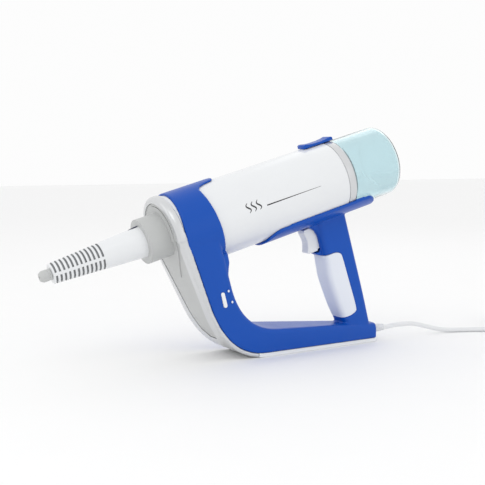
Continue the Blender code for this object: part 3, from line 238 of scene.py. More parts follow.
# Each finish: a colour setting or a fixed colour, its roughness, and what else it needs.
FINISHES = {
    "blue_gloss": ("blue", 0.32, dict(coat=0.04, grain=1100.0, depth=0.012, specular=0.28)),
    "white_gloss": ("white", 0.3, dict(coat=0.35, grain=1300.0, depth=0.01, drift=0.03)),
    "silver_paint": ("silver", 0.3,
        dict(coat=0.3, metallic=0.65, grain=1800.0, depth=0.006, drift=0.05)),
    "grey_satin": ("grey", 0.42, dict(grain=800.0, depth=0.02)),
    "dark_satin": ((0.13, 0.135, 0.14), 0.4, dict(grain=800.0, depth=0.02)),
    "navy_gloss": ((0.006, 0.012, 0.06), 0.28, dict(coat=0.3, depth=0.01)),
    "clear_tank": ("water", 0.03, dict(transmission=1.0, grain=300.0, depth=0.002, drift=0.04)),
    "soft_grip": ("grip", 0.52, dict(grain=1500.0, depth=0.05, drift=0.05, subsurface=0.1)),
    "cable_jacket": ("cable", 0.42, dict(grain=600.0, depth=0.03, drift=0.08)),
    "print_ink": ("ink", 0.45, dict(grain=1500.0, depth=0.005)),
    "indicator_white": ((0.86, 0.87, 0.88), 0.25, dict(coat=0.4, depth=0.005)),
    "bright_metal": ((0.62, 0.62, 0.63), 0.28, dict(metallic=1.0, grain=700.0, depth=0.01)),
    "brass_metal": ((0.72, 0.56, 0.28), 0.25, dict(metallic=1.0, grain=700.0, depth=0.01)),
    # Grey painted shade for the nozzle's groove floors, standing in for the shadow inside the grooves.
    "painted_groove_shade": ((0.3, 0.31, 0.32), 0.5, dict(grain=900.0, depth=0.02)),
    "cast_metal": ((0.56, 0.56, 0.55), 0.42, dict(metallic=1.0, grain=260.0, depth=0.06)),
    "black_rubber": ((0.03, 0.03, 0.03), 0.6, dict(grain=900.0, depth=0.03)),
    "hose_rubber": ((0.6, 0.6, 0.56), 0.45, dict(grain=500.0, depth=0.02, subsurface=0.1)),
    "board_green": ((0.02, 0.16, 0.07), 0.38, dict(coat=0.3, grain=1500.0, depth=0.01)),
    "floor_paper": ((0.93, 0.93, 0.93), 0.7, dict(grain=300.0, depth=0.02, drift=0.01)),
}


def finish(name):
    """The material of a finish in the table."""
    tint, roughness, more = FINISHES[name]
    colour_of = getattr(tints(), tint) if isinstance(tint, str) else tint
    return moulded(name, colour_of, roughness, **more)


# --- mesh helpers -----------------------------------------------------------------------------------
def settle(bm, dist=1e-6):
    """Merges doubles and turns every face outwards."""
    bmesh.ops.remove_doubles(bm, verts=bm.verts, dist=dist)
    bmesh.ops.recalc_face_normals(bm, faces=bm.faces)


def turned(profile, around=128, v=0.0, axis=None):
    """A body of revolution about the barrel's direction; profile points are (radius, s)."""
    bm = bmesh.new()
    verts = [bm.verts.new((s, 0.0, max(r, 0.0))) for r, s in profile]
    edges = [bm.edges.new((a, b)) for a, b in zip(verts, verts[1:])]
    if profile[0] != profile[-1] and min(profile[0][0], profile[-1][0]) > 1e-9:
        edges.append(bm.edges.new((verts[-1], verts[0])))
    bmesh.ops.spin(bm, geom=verts + edges, cent=(0, 0, 0), axis=(1, 0, 0), dvec=(0, 0, 0),
                   angle=2 * math.pi, steps=around, use_merge=True, use_duplicate=False)
    settle(bm, 2e-6)
    bmesh.ops.transform(bm, matrix=Matrix.Translation((0, 0, v)), verts=bm.verts)
    bmesh.ops.transform(bm, matrix=BARREL if axis is None else axis, verts=bm.verts)
    return bm


def rounded(points, radii, steps=4):
    """An open profile with its inner corners rounded by the given radii."""
    out = [points[0]]
    for k in range(1, len(points) - 1):
        here = Vector(points[k])
        back = Vector(points[k - 1]) - here
        on = Vector(points[k + 1]) - here
        r = min(radii[k - 1] if isinstance(radii, (list, tuple)) else radii,
                back.length * 0.49, on.length * 0.49)
        a = here + back.normalized() * r
        c = here + on.normalized() * r
        for i in range(steps + 1):
            t = i / steps
            out.append(tuple(a * (1 - t) ** 2 + here * 2 * t * (1 - t) + c * t * t))
    out.append(points[-1])
    return out


def smooth_curve(points, per_span=8, closed=False):
    """Catmull-Rom points through a given list."""
    pts = [Vector(p) for p in points]
    if closed:
        pts = [pts[-1]] + pts + pts[:2]
    else:
        pts = [pts[0] * 2 - pts[1]] + pts + [pts[-1] * 2 - pts[-2]]
    out = []
    for i in range(1, len(pts) - 2):
        a, b, c, d = pts[i - 1:i + 3]
        for k in range(per_span):
            t = k / per_span
            out.append(0.5 * (b * 2 + (c - a) * t + (a * 2 - b * 5 + c * 4 - d) * t * t
                              + (b * 3 - a - c * 3 + d) * t ** 3))
    if not closed:
        out.append(pts[-2])
    return out


def slab(outline, low, high, plane="XZ", matrix=None, bevel=0.0, segments=3):
    """An outline extruded between two levels, its rims rounded if asked."""
    bm = bmesh.new()
    place = {"XZ": lambda a, b, c: (a, c, b), "XY": lambda a, b, c: (a, b, c),
             "YZ": lambda a, b, c: (c, a, b)}[plane]
    face = bm.faces.new([bm.verts.new(place(p[0], p[1], low)) for p in outline])
    out = bmesh.ops.extrude_face_region(bm, geom=[face])
    fresh = [g for g in out["geom"] if isinstance(g, bmesh.types.BMVert)]
    shift = Vector(place(0.0, 0.0, high - low))
    bmesh.ops.translate(bm, vec=shift, verts=fresh)
    bmesh.ops.recalc_face_normals(bm, faces=bm.faces)
    if bevel:
        caps = [f for f in bm.faces if len(f.verts) > 4]
        rims = list({e for f in caps for e in f.edges})
        bmesh.ops.bevel(bm, geom=rims, offset=bevel, segments=segments, profile=0.5,
                        affect="EDGES", material=-1, clamp_overlap=True)
    if matrix is not None:
        bmesh.ops.transform(bm, matrix=matrix, verts=bm.verts)
        bmesh.ops.recalc_face_normals(bm, faces=bm.faces)
    return bm


def skin(sections):
    """A closed body drawn through sections with the same number of points."""
    bm = bmesh.new()
    ring = [bm.verts.new(p) for p in sections[0]]
    edges = [bm.edges.new((ring[k - 1], ring[k])) for k in range(len(ring))]
    first = list(edges)
    for section in sections[1:]:
        out = bmesh.ops.extrude_edge_only(bm, edges=edges)["geom"]
        fresh = {g for g in out if isinstance(g, bmesh.types.BMVert)}
        edges = [g for g in out if isinstance(g, bmesh.types.BMEdge)
                 and g.verts[0] in fresh and g.verts[1] in fresh]
        following = []
        for vert, point in zip(ring, section):
            other = next(e.other_vert(vert) for e in vert.link_edges
                         if e.other_vert(vert) in fresh)
            other.co = point
            following.append(other)
        ring = following
    bmesh.ops.holes_fill(bm, edges=first + edges, sides=0)
    bmesh.ops.recalc_face_normals(bm, faces=bm.faces)
    return bm


def as_object(name, bm, mat=None, smooth=40.0):
    """A mesh object at the origin, shaded smooth with sharp edges past an angle."""
    mesh = bpy.data.meshes.new(name)
    bm.to_mesh(mesh)
    bm.free()
    obj = bpy.data.objects.new(name, mesh)
    bpy.context.scene.collection.objects.link(obj)
    if mat:
        mesh.materials.append(mat)
    if smooth:
        mesh.shade_smooth()
        mesh.set_sharp_from_angle(angle=math.radians(smooth))
    return obj


def piece(name, bm, mat, body="frame", replaces=(), smooth=40.0):
    """A finished visible piece that rides on a body."""
    obj = as_object(name, bm, mat, smooth)
    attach(obj, body)
    if replaces:
        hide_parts(*replaces)
    return obj


def joined(*bodies):
    """Several bmeshes as one."""
    whole = bmesh.new()
    for bm in bodies:
        mesh = bpy.data.meshes.new("joined")
        bm.to_mesh(mesh)
        bm.free()
        whole.from_mesh(mesh)
        bpy.data.meshes.remove(mesh)
    return whole


def combine(bm, tool, operation="DIFFERENCE"):
    """An exact Boolean of two bmeshes."""
    obj = as_object("work_body", bm, smooth=0)
    other = as_object("work_tool", tool, smooth=0)
    modifier = obj.modifiers.new("cut", "BOOLEAN")
    modifier.operation = operation
    modifier.object = other
    modifier.solver = "EXACT"
    result = read_back(obj)
    bpy.data.objects.remove(other, do_unlink=True)
    return result


def read_back(obj):
    """The evaluated mesh of a work object, which is then removed."""
    bpy.context.view_layer.update()
    graph = bpy.context.evaluated_depsgraph_get()
    mesh = bpy.data.meshes.new_from_object(obj.evaluated_get(graph))
    bm = bmesh.new()
    bm.from_mesh(mesh)
    bpy.data.meshes.remove(mesh)
    bpy.data.objects.remove(obj, do_unlink=True)
    return bm


def fused(bm, voxel, passes=4):
    """Overlapping bodies melted into one moulding with small fillets."""
    obj = as_object("work_melt", bm, smooth=0)
    modifier = obj.modifiers.new("melt", "REMESH")
    modifier.mode = "VOXEL"
    modifier.voxel_size = voxel
    modifier.adaptivity = 0.0
    melted = read_back(obj)
    for _ in range(passes):
        bmesh.ops.smooth_vert(melted, verts=melted.verts, factor=0.5, use_axis_x=True,
                              use_axis_y=True, use_axis_z=True)
    return melted


def halved(bm, point, normal):
    """The part of a body behind a plane, closed again."""
    geom = bm.verts[:] + bm.edges[:] + bm.faces[:]
    bmesh.ops.bisect_plane(bm, geom=geom, plane_co=point, plane_no=normal, clear_outer=True,
                           dist=1e-7)
    rim = [e for e in bm.edges if e.is_boundary]
    bmesh.ops.holes_fill(bm, edges=rim, sides=0)
    bmesh.ops.recalc_face_normals(bm, faces=bm.faces)
    return bm


# --- outlines of the frame --------------------------------------------------------------------------
def corner_path(top, bend, end, up_length, run_length, steps):
    """Down a straight edge, round one corner and along the base."""
    top, bend, end = Vector(top), Vector(bend), Vector(end)
    leave = bend + (top - bend).normalized() * up_length
    meet = bend + (end - bend).normalized() * run_length
    points = [top.lerp(leave, k / steps) for k in range(steps)]
    for k in range(2 * steps + 1):
        t = k / (2 * steps)
        points.append(leave * (1 - t) ** 2 + bend * 2 * t * (1 - t) + meet * t * t)
    points += [meet.lerp(end, k / steps) for k in range(1, steps + 1)]
    return points


STEPS = 10
BEND_X = -89.0 * MM


def flat(s, v):
    """The x and z of a barrel point, for side outlines."""
    point = at(s, v)
    return Vector((point.x, point.z))


SHELL_EDGE = corner_path(flat(COLLAR_FRONT_S + GAP, LEG_TOP_V), (BEND_X, TRIM_TOP_Z),
                         (BASE_REAR_X, TRIM_TOP_Z), 65 * MM, 50 * MM, STEPS)
REAR_EDGE = corner_path(flat(-114.3 * MM, LEG_TOP_V), (-69 * MM, 34.5 * MM),
                        (BASE_REAR_X, 24 * MM), 52 * MM, 47 * MM, STEPS)
NOSE_EDGE = corner_path(flat(FACE_S, LEG_TOP_V), (BEND_X, 0.0), (BASE_REAR_X, 0.0),
                        65 * MM, 50 * MM, STEPS)
PARTING = 2 * STEPS + 8             # station where the nose trim meets the sole trim


def half_width(k):
    """Half width of the leg and the base at a station."""
    share = k / STEPS
    if share <= 1:
        return (47.1 + (38 - 47.1) * share) * MM
    if share <= 3:
        return (38 + (33 - 38) * (share - 1) / 2) * MM
    return (33 + (14 - 33) * (share - 3)) * MM


def ring_section(a, b, w, near_round, far_round, crown=0.0, points=5):
    """A rounded rectangle between edge points a and b, w to each side of the middle."""
    along = (b - a).normalized()
    depth = (b - a).length
    near = min(near_round, depth * 0.45, w * 0.9)
    far = min(far_round, depth * 0.45, w * 0.9)
    half = []
    for k in range(points + 1):
        angle = math.radians(90 * k / points)
        half.append((near - near * math.cos(angle), w - near + near * math.sin(angle)))
    half.append((depth / 2, w + crown))
    for k in range(points + 1):
        angle = math.radians(90 * k / points)
        half.append((depth - far + far * math.sin(angle), w - far + far * math.cos(angle)))
    ring = half + [(t, -y) for t, y in reversed(half)]
    return [Vector((a.x + along.x * t, y, a.y + along.y * t)) for t, y in ring]


def band(near_edge, far_edge, stations, near_round, far_round, crown=0.0):
    """The body between two side edges over a run of stations."""
    return skin([ring_section(near_edge[k], far_edge[k], half_width(k), near_round, far_round,
                              crown) for k in stations])


def stations_of_handle(shrink=0.0):
    """Sections down the handle: front and rear edges and half width at a few heights."""
    table = [(-40, 0, 0), (-60, 0, 0), (-80, 0.3, 0), (-90, 0.6, 0), (-104, -0.6, 0),
             (-118, -1.2, 0), (-140, 0.8, 0), (-158, 3, 0.3), (-176, 6.4, 1.0),
             (-192, 8.5, 1.5)]
    rows = smooth_curve([(v, shift, slim) for v, shift, slim in table], 4)
    sections = []
    for v, shift, slim in rows:
        a = flat(HANDLE_FRONT_S + shift * MM + shrink, v * MM)
        b = flat(HANDLE_REAR_S, v * MM)
        sections.append(ring_section(a, b, HANDLE_HALF - slim * MM - shrink, 7.5 * MM,
                                     4.5 * MM, 0.3 * MM))
    return sections


def grip_outline(shrink):
    """Side outline of the soft insert's stretch of the handle."""
    top, low = -88 * MM - shrink, -172 * MM + shrink
    reach = HANDLE_FRONT_S + 24 * MM - shrink
    side = [flat(HANDLE_FRONT_S - 14 * MM, top + 1.5 * MM), flat(HANDLE_FRONT_S + 4 * MM, top),
            flat(reach - 9 * MM, top), flat(reach - 2.5 * MM, top - 2.5 * MM),
            flat(reach, top - 9 * MM), flat(reach + 1.5 * MM, (top + low) / 2),
            flat(reach + 3 * MM, low + 9 * MM), flat(reach + 1 * MM, low + 2.5 * MM),
            flat(reach - 6 * MM, low), flat(HANDLE_FRONT_S - 14 * MM, low)]
    curved = smooth_curve(side[1:-1], 5)
    return [side[0]] + curved + [side[-1]]


def seat_bore():
    """The barrel's own space, taken out of whatever wraps it."""
    return turned([(0, -260 * MM), (SEAT_R, -260 * MM), (SEAT_R, 200 * MM), (0, 200 * MM)], 160)


def plan(points):
    """A smooth plan outline in (s, y) from points of one side."""
    right = smooth_curve([(s * MM, y * MM) for s, y in points], 6)
    left = [Vector((p.x, -p.y)) for p in reversed(right[1:-1])]
    return right + left


def wrap_band(outline, r, low_v, high_v, s_range):
    """The part of a cylinder skin under a plan outline."""
    start, end = s_range
    body = turned([(0, start), (r, start), (r, end), (0, end)], 160)
    tool = slab(outline, low_v, high_v, "XY", BARREL)
    return combine(combine(body, tool, "INTERSECT"), seat_bore())


TONGUE = [(-118, 0), (-118, 26), (-115.2, 23.5), (-112.6, 19.5), (-109, 15.4), (-102, 12),
          (-95, 9.9), (-90, 8.2), (-87.2, 5.2), (-86, 0)]
CRADLE = [(-50, 0), (-49.4, 8), (-47, 18), (-42.5, 26.5), (-36, 31.5), (-26, 33.6), (0, 34.2),
          (50, 34.6), (94, 35), (104, 33.2), (110.5, 28), (113.2, 20), (114, 10), (114, 0)]


def frame_solid():
    """Collar, leg, base, handle and cradle as one moulding, before it is split."""
    leg = combine(band(SHELL_EDGE, REAR_EDGE, range(0, 4 * STEPS + 1), 0.6 * MM, 5.5 * MM,
                       0.25 * MM), seat_bore())
    collar = turned([(SEAT_R, -158 * MM), (SKIN_R, -158 * MM), (SKIN_R, -100 * MM),
                     (SEAT_R, -100 * MM), (SEAT_R, -158 * MM)], 180)
    tilt = Vector((math.cos(math.radians(5.4)), 0, math.sin(math.radians(5.4))))
    collar = halved(collar, at(-109.5 * MM, 0), (BARREL.to_3x3() @ tilt))
    collar = halved(collar, at(COLLAR_FRONT_S, 0), BARREL.to_3x3() @ Vector((-1, 0, 0)))
    lean = Vector((-1, 0, 0.126)).normalized()
    collar = halved(collar, at(COLLAR_FRONT_S, 10 * MM), BARREL.to_3x3() @ lean)
    gusset = combine(slab([flat(s * MM, v * MM) for s, v in (
        (-125, -34), (-105.6, -34), (-106.2, -46.5), (-108.6, -52), (-111.2, -59),
        (-113.6, -68), (-125, -68))], -39 * MM, 39 * MM, bevel=4.5 * MM), seat_bore())
    tongue = wrap_band(plan(TONGUE), SKIN_R, 0.0, 60 * MM, (-125 * MM, -80 * MM))
    cradle = wrap_band(plan(CRADLE), CRADLE_R, -60 * MM, -18 * MM, (-60 * MM, 120 * MM))
    handle = combine(skin(stations_of_handle()), seat_bore())
    zone = slab(grip_outline(0.0), -40 * MM, 40 * MM)
    core = skin(stations_of_handle(2.6 * MM))
    handle = combine(handle, combine(zone, core))
    lip = slab(smooth_curve([flat(s * MM, v * MM) for s, v in (
        (23.5, -82.4), (27, -80.6), (33, -80), (40, -82), (44, -88), (38, -89.5), (31, -88),
        (26, -85.4))], 4, True), -7.5 * MM, 7.5 * MM, bevel=0.8 * MM)
    saddle = slab([flat(s * MM, v * MM) for s, v in (
        (15, -44), (22, -49), (27, -54), (29.6, -60), (31, -68), (40, -68), (40, -44))],
                  -13 * MM, 13 * MM, bevel=3 * MM)
    saddle = combine(saddle, seat_bore())
    return fused(joined(leg, collar, gusset, tongue, cradle, handle, lip, saddle), sizes().shell_grain, 4)


def screw_places():
    """Where the case screws stand, in x and z, with the half width there."""
    places = []
    for number in range(1, 7):
        low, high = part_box("case_screw_%d" % number)
        places.append(((low.x + high.x) / 2, (low.z + high.z) / 2, high.y))
    return places


def rod(start, end, r, sides=32):
    """A closed round rod between two points."""
    start, end = Vector(start), Vector(end)
    bm = bmesh.new()
    bmesh.ops.create_cone(bm, cap_ends=True, segments=sides, radius1=r, radius2=r,
                          depth=(end - start).length)
    turn = Vector((0, 0, 1)).rotation_difference(end - start).to_matrix().to_4x4()
    bmesh.ops.transform(bm, matrix=Matrix.Translation((start + end) / 2) @ turn, verts=bm.verts)
    return bm


def block(low, high, matrix=None, bevel=0.0):
    """A box between two corners, its edges rounded if asked."""
    bm = bmesh.new()
    bmesh.ops.create_cube(bm, size=1.0)
    size = [b - a for a, b in zip(low, high)]
    centre = [(a + b) / 2 for a, b in zip(low, high)]
    bmesh.ops.scale(bm, vec=size, verts=bm.verts)
    bmesh.ops.translate(bm, vec=centre, verts=bm.verts)
    if bevel:
        bmesh.ops.bevel(bm, geom=bm.edges[:], offset=bevel, segments=3, profile=0.5,
                        affect="EDGES", material=-1, clamp_overlap=True)
    if matrix is not None:
        bmesh.ops.transform(bm, matrix=matrix, verts=bm.verts)
    return bm


def window_outline(r):
    """Side outline of the indicator window, in x and z."""
    low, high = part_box("indicator_window")
    a = Vector((low.x + 2.3 * MM, high.z - 2.3 * MM))
    b = Vector((high.x - 2.3 * MM, low.z + 2.3 * MM))
    along = (b - a).normalized()
    base = math.atan2(along.y, along.x)
    points = []
    for middle, start in ((b, base - math.pi / 2), (a, base + math.pi / 2)):
        for k in range(11):
            angle = start + math.pi * k / 10
            points.append(middle + Vector((math.cos(angle), math.sin(angle))) * r)
    return points


class SteamMopFrame(bpy.types.Operator):
    """Builds the two blue mouldings with collar, leg, base, cradle and handle"""

    bl_idname = "steam_mop.frame"
    bl_label = "Frame mouldings"

    def execute(self, context):
        whole = frame_solid()
        whole = combine(whole, seat_bore())
        slot = block((HANDLE_FRONT_S - 6 * MM, -7.6 * MM, -82.6 * MM),
                     (HANDLE_FRONT_S + 30 * MM, 7.6 * MM, -48.6 * MM), BARREL)
        whole = combine(whole, slot)
        zone = slab(grip_outline(-0.05 * MM), -40 * MM, 40 * MM)
        core = skin(stations_of_handle(2.6 * MM))
        whole = combine(whole, combine(zone, core))
        whole = combine(whole, slab(window_outline(2.6 * MM), -60 * MM, -20 * MM))
        for x, z, top in screw_places():
            whole = combine(whole, rod((x, top - 0.2 * MM, z), (x, top + 20 * MM, z), 3.5 * MM))
        floor = block((-0.4, -0.1, -0.1), (0.4, 0.1, TRIM_TOP_Z))
        whole = combine(whole, floor)
        for side, number in (("left", -1), ("right", 1)):
            half = halved(whole.copy(), Vector((0, number * GAP / 2, 0)),
                          Vector((0, -number, 0)))
            piece("frame_moulding_" + side, half, finish("blue_gloss"), "frame",
                  (side + "_shell",), 50)
        whole.free()
        return {"FINISHED"}


def barrel_space():
    """The room behind the nose that the barrel's front end fills."""
    front = COLLAR_FRONT_S - GAP
    return turned([(0, front), (SEAT_R, front), (SEAT_R, 200 * MM), (0, 200 * MM)], 96)


def nose_solid(set_back=0.0, depth=0.0):
    """The front of the nose as a block, full depth or only a sheet of it."""
    near, far = [], []
    for a, b in zip(NOSE_EDGE, SHELL_EDGE):
        along = (b - a).normalized()
        near.append(a + along * set_back)
        far.append(a + along * (set_back + depth) if depth else b - along * GAP)
    leg = band(near, far, range(0, PARTING + 1), 0.5 * MM if depth else 4.5 * MM, 0.5 * MM)
    back = FACE_S + set_back + depth if depth else COLLAR_FRONT_S - 2 * GAP
    start = FACE_S + set_back
    soft = 0.4 * MM if depth else 4.8 * MM
    disc = turned(rounded([(0, back), (SKIN_R, back), (SKIN_R, start), (0, start)],
                          [0.3 * MM, soft], 6), 160)
    disc = halved(disc, at(0, -3 * MM), BARREL.to_3x3() @ Vector((0, 0, -1)))
    return combine(combine(leg, barrel_space()), disc, "UNION")


def arch_outline(inset):
    """Front outline of the grey panel in (y, z): an arch over the nose, slim down the leg."""
    top = SKIN_R - 7 * MM - inset
    face = flat(FACE_S, 0.0).y
    right = [(top * math.cos(math.radians(a)),
              face + top * math.cos(PITCH) * math.sin(math.radians(a)))
             for a in range(90, -1, -6)]
    for k in range(1, 6):
        station = k * STEPS // 3
        drop = (NOSE_EDGE[station] + SHELL_EDGE[station]) / 2
        right.append((half_width(min(station, 4 * STEPS)) - 7 * MM * (1 + 0.35 * k) - inset,
                      drop.y))
    low = (NOSE_EDGE[PARTING - 8] + SHELL_EDGE[PARTING - 8]) / 2
    right.append((half_width(PARTING) * 0.25 - inset, low.y + 5 * MM + inset))
    left = [(-y, z) for y, z in reversed(right[1:])]
    return right + left


def drop_outline(inset):
    """Front outline of the nose plate: a round drop with a point below."""
    r = 34 * MM - inset
    tall = math.cos(PITCH)
    face = flat(FACE_S, 0.0).y
    points = [(r * math.cos(math.radians(a)),
               face + tall * (NOZZLE_V + r * math.sin(math.radians(a))))
              for a in range(-30, 211, 6)]
    points += [(-11 * MM, face + tall * (-37 * MM + inset)),
               (-2.5 * MM, face + tall * (-48.5 * MM + inset)),
               (2.5 * MM, face + tall * (-48.5 * MM + inset)),
               (11 * MM, face + tall * (-37 * MM + inset))]
    return points


def through_nose(outline):
    """A front outline as a block that runs through the nose."""
    return slab(outline, -260 * MM, -40 * MM, "YZ")


class SteamMopNose(bpy.types.Operator):
    """Builds the silver nose trim, the grey panel, the drop plate and the white sole strip"""

    bl_idname = "steam_mop.nose"
    bl_label = "Nose and sole"

    def execute(self, context):
        solid = fused(nose_solid(), 1.0 * MM, 5)
        trim = combine(solid, barrel_space())
        trim = combine(trim, through_nose(arch_outline(0.0)))
        piece("nose_trim", trim, finish("silver_paint"), "frame", ("front_trim",), 35)
        panel = combine(nose_solid(1.0 * MM, 3.0 * MM), through_nose(arch_outline(GAP)),
                        "INTERSECT")
        panel = combine(panel, through_nose(drop_outline(0.0)))
        piece("nose_panel", panel, finish("grey_satin"), "frame", ("front_panel",))
        plate = combine(nose_solid(0.0, 4.0 * MM), through_nose(drop_outline(GAP)), "INTERSECT")
        hole = turned([(0, -190 * MM), (26.3 * MM, -190 * MM), (26.3 * MM, -130 * MM),
                       (0, -130 * MM)], 128, NOZZLE_V)
        plate = combine(plate, hole)
        piece("nose_plate_drop", plate, finish("grey_satin"), "frame",
              ("nose_plate",))
        near = [Vector(p) for p in NOSE_EDGE]
        far = [b + (a - b).normalized() * GAP for a, b in zip(NOSE_EDGE, SHELL_EDGE)]
        sole = band(near, far, range(PARTING, 4 * STEPS + 1), 0.9 * MM, 0.4 * MM)
        piece("sole_strip", sole, finish("white_gloss"), "frame", ("base_trim",))
        return {"FINISHED"}


class SteamMopBarrel(bpy.types.Operator):
    """Builds the white barrel tube, the silver ring and the tank latch"""

    bl_idname = "steam_mop.barrel"
    bl_label = "Barrel, ring and latch"

    def execute(self, context):
        bore = BARREL_R - 2.5 * MM
        tube = turned(rounded([(bore, 0), (bore, BARREL_REAR_S), (BARREL_R, BARREL_REAR_S),
                               (BARREL_R, COLLAR_FRONT_S), (bore, COLLAR_FRONT_S),
                               (bore, 0)], 0.5 * MM, 3), 192)
        tube = combine(tube, block((43.7 * MM, -4.3 * MM, 36 * MM),
                                   (56.3 * MM, 4.3 * MM, 50 * MM), BARREL))
        piece("barrel_tube", tube, finish("white_gloss"), "frame",
              ("barrel_housing",), 30)
        front = BARREL_REAR_S + GAP
        ring = turned(rounded([(bore - GAP, 64 * MM), (bore - GAP, front),
                               (BARREL_R - 0.9 * MM, front), (BARREL_R - 0.9 * MM, front + 0.8 * MM),
                               (BARREL_R, front + 0.8 * MM), (BARREL_R, front + 10.5 * MM),
                               (bore - 3 * MM, front + 10.5 * MM), (bore - 3 * MM, 62 * MM),
                               (bore - GAP, 62 * MM), (bore - GAP, 64 * MM)],
                              [0.1 * MM, 0.1 * MM, 0.1 * MM, 0.8 * MM, 1.1 * MM, 0.3 * MM,
                               0.3 * MM, 0.3 * MM], 4), 192)
        piece("rear_ring", ring, finish("silver_paint"), "frame", ("tank_ring",), 35)
        top = BARREL_R + 5 * MM
        outline = [(s * MM, v) for s, v in (
            (42, BARREL_R + 0.35 * MM), (42, top - 1.2 * MM), (43.5, top - 0.1 * MM),
            (46.5, top), (50, top - 0.7 * MM), (56, top - 1.4 * MM), (68, top - 1.5 * MM),
            (76, top - 0.8 * MM), (80, top), (82.6, top - 0.2 * MM), (84, top - 1.4 * MM),
            (84, BARREL_R + 0.35 * MM))]
        rounded_top = [outline[0]] + [tuple(p) for p in smooth_curve(outline[1:-1], 5)]
        rounded_top.append(outline[-1])
        latch = slab(rounded_top, -8.5 * MM, 8.5 * MM, "XZ", BARREL, 1.2 * MM, 3)
        stem = block((50 * MM, -4 * MM, 37 * MM), (56 * MM, 4 * MM, 46 * MM), BARREL, 0.3 * MM)
        latch = combine(latch, stem, "UNION")
        piece("latch_slider", latch, finish("blue_gloss"), "latch",
              ("latch_button",), 35)
        return {"FINISHED"}


class SteamMopTank(bpy.types.Operator):
    """Builds the clear water tank with its lid and fill cap"""

    bl_idname = "steam_mop.tank"
    bl_label = "Water tank"

    def execute(self, context):
        rear = TANK_FRONT_S + TANK_LENGTH
        inner = TANK_R - 2.2 * MM
        outside = rounded([(0, rear), (TANK_R, rear), (TANK_R, TANK_FRONT_S + 1.0 * MM),
                           (TANK_R - 0.6 * MM, TANK_FRONT_S)], [8 * MM, 0.8 * MM], 12)
        inside = rounded([(inner, TANK_FRONT_S), (inner, rear - 2.2 * MM),
                          (0, rear - 2.2 * MM)], [5.8 * MM], 12)
        tank = turned(outside + inside, 160)
        piece("tank_shell", tank, finish("clear_tank"), "tank", ("water_tank",), 60)
        lid = inner - GAP
        cover = turned(rounded([(lid, TANK_FRONT_S), (lid, TANK_FRONT_S + 3 * MM),
                                (6 * MM, TANK_FRONT_S + 3 * MM), (6 * MM, TANK_FRONT_S),
                                (lid, TANK_FRONT_S)], 0.4 * MM, 3), 128)
        hole = rod(at(TANK_FRONT_S - 5 * MM, 22 * MM), at(TANK_FRONT_S + 8 * MM, 22 * MM),
                   10.2 * MM, 64)
        piece("tank_cover", combine(cover, hole), finish("grey_satin"), "tank",
              ("tank_lid",))
        start = TANK_FRONT_S
        cap = turned(rounded([(0, start + 6 * MM), (9.9 * MM, start + 6 * MM),
                              (9.9 * MM, start - GAP), (11.9 * MM, start - GAP),
                              (11.9 * MM, start - 4 * MM), (0, start - 4 * MM)],
                             [0.8 * MM, 0.1 * MM, 0.5 * MM, 0.9 * MM], 4), 96, 22 * MM)
        bar = block((start - 7 * MM, -8 * MM, 20.6 * MM), (start - 3 * MM, 8 * MM, 23.4 * MM),
                    BARREL, 0.8 * MM)
        piece("tank_cap", combine(cap, bar, "UNION"), finish("blue_gloss"), "cap",
              ("fill_cap",), 35)
        return {"FINISHED"}


NOSE_S = -300 * MM
TAPER_S = -168 * MM


def nozzle_radius(s):
    """Outer radius of the nozzle at s."""
    share = min(max((TAPER_S - s) / (TAPER_S - NOSE_S), 0.0), 1.0)
    return (19.5 + (11.8 - 19.5) * share) * MM


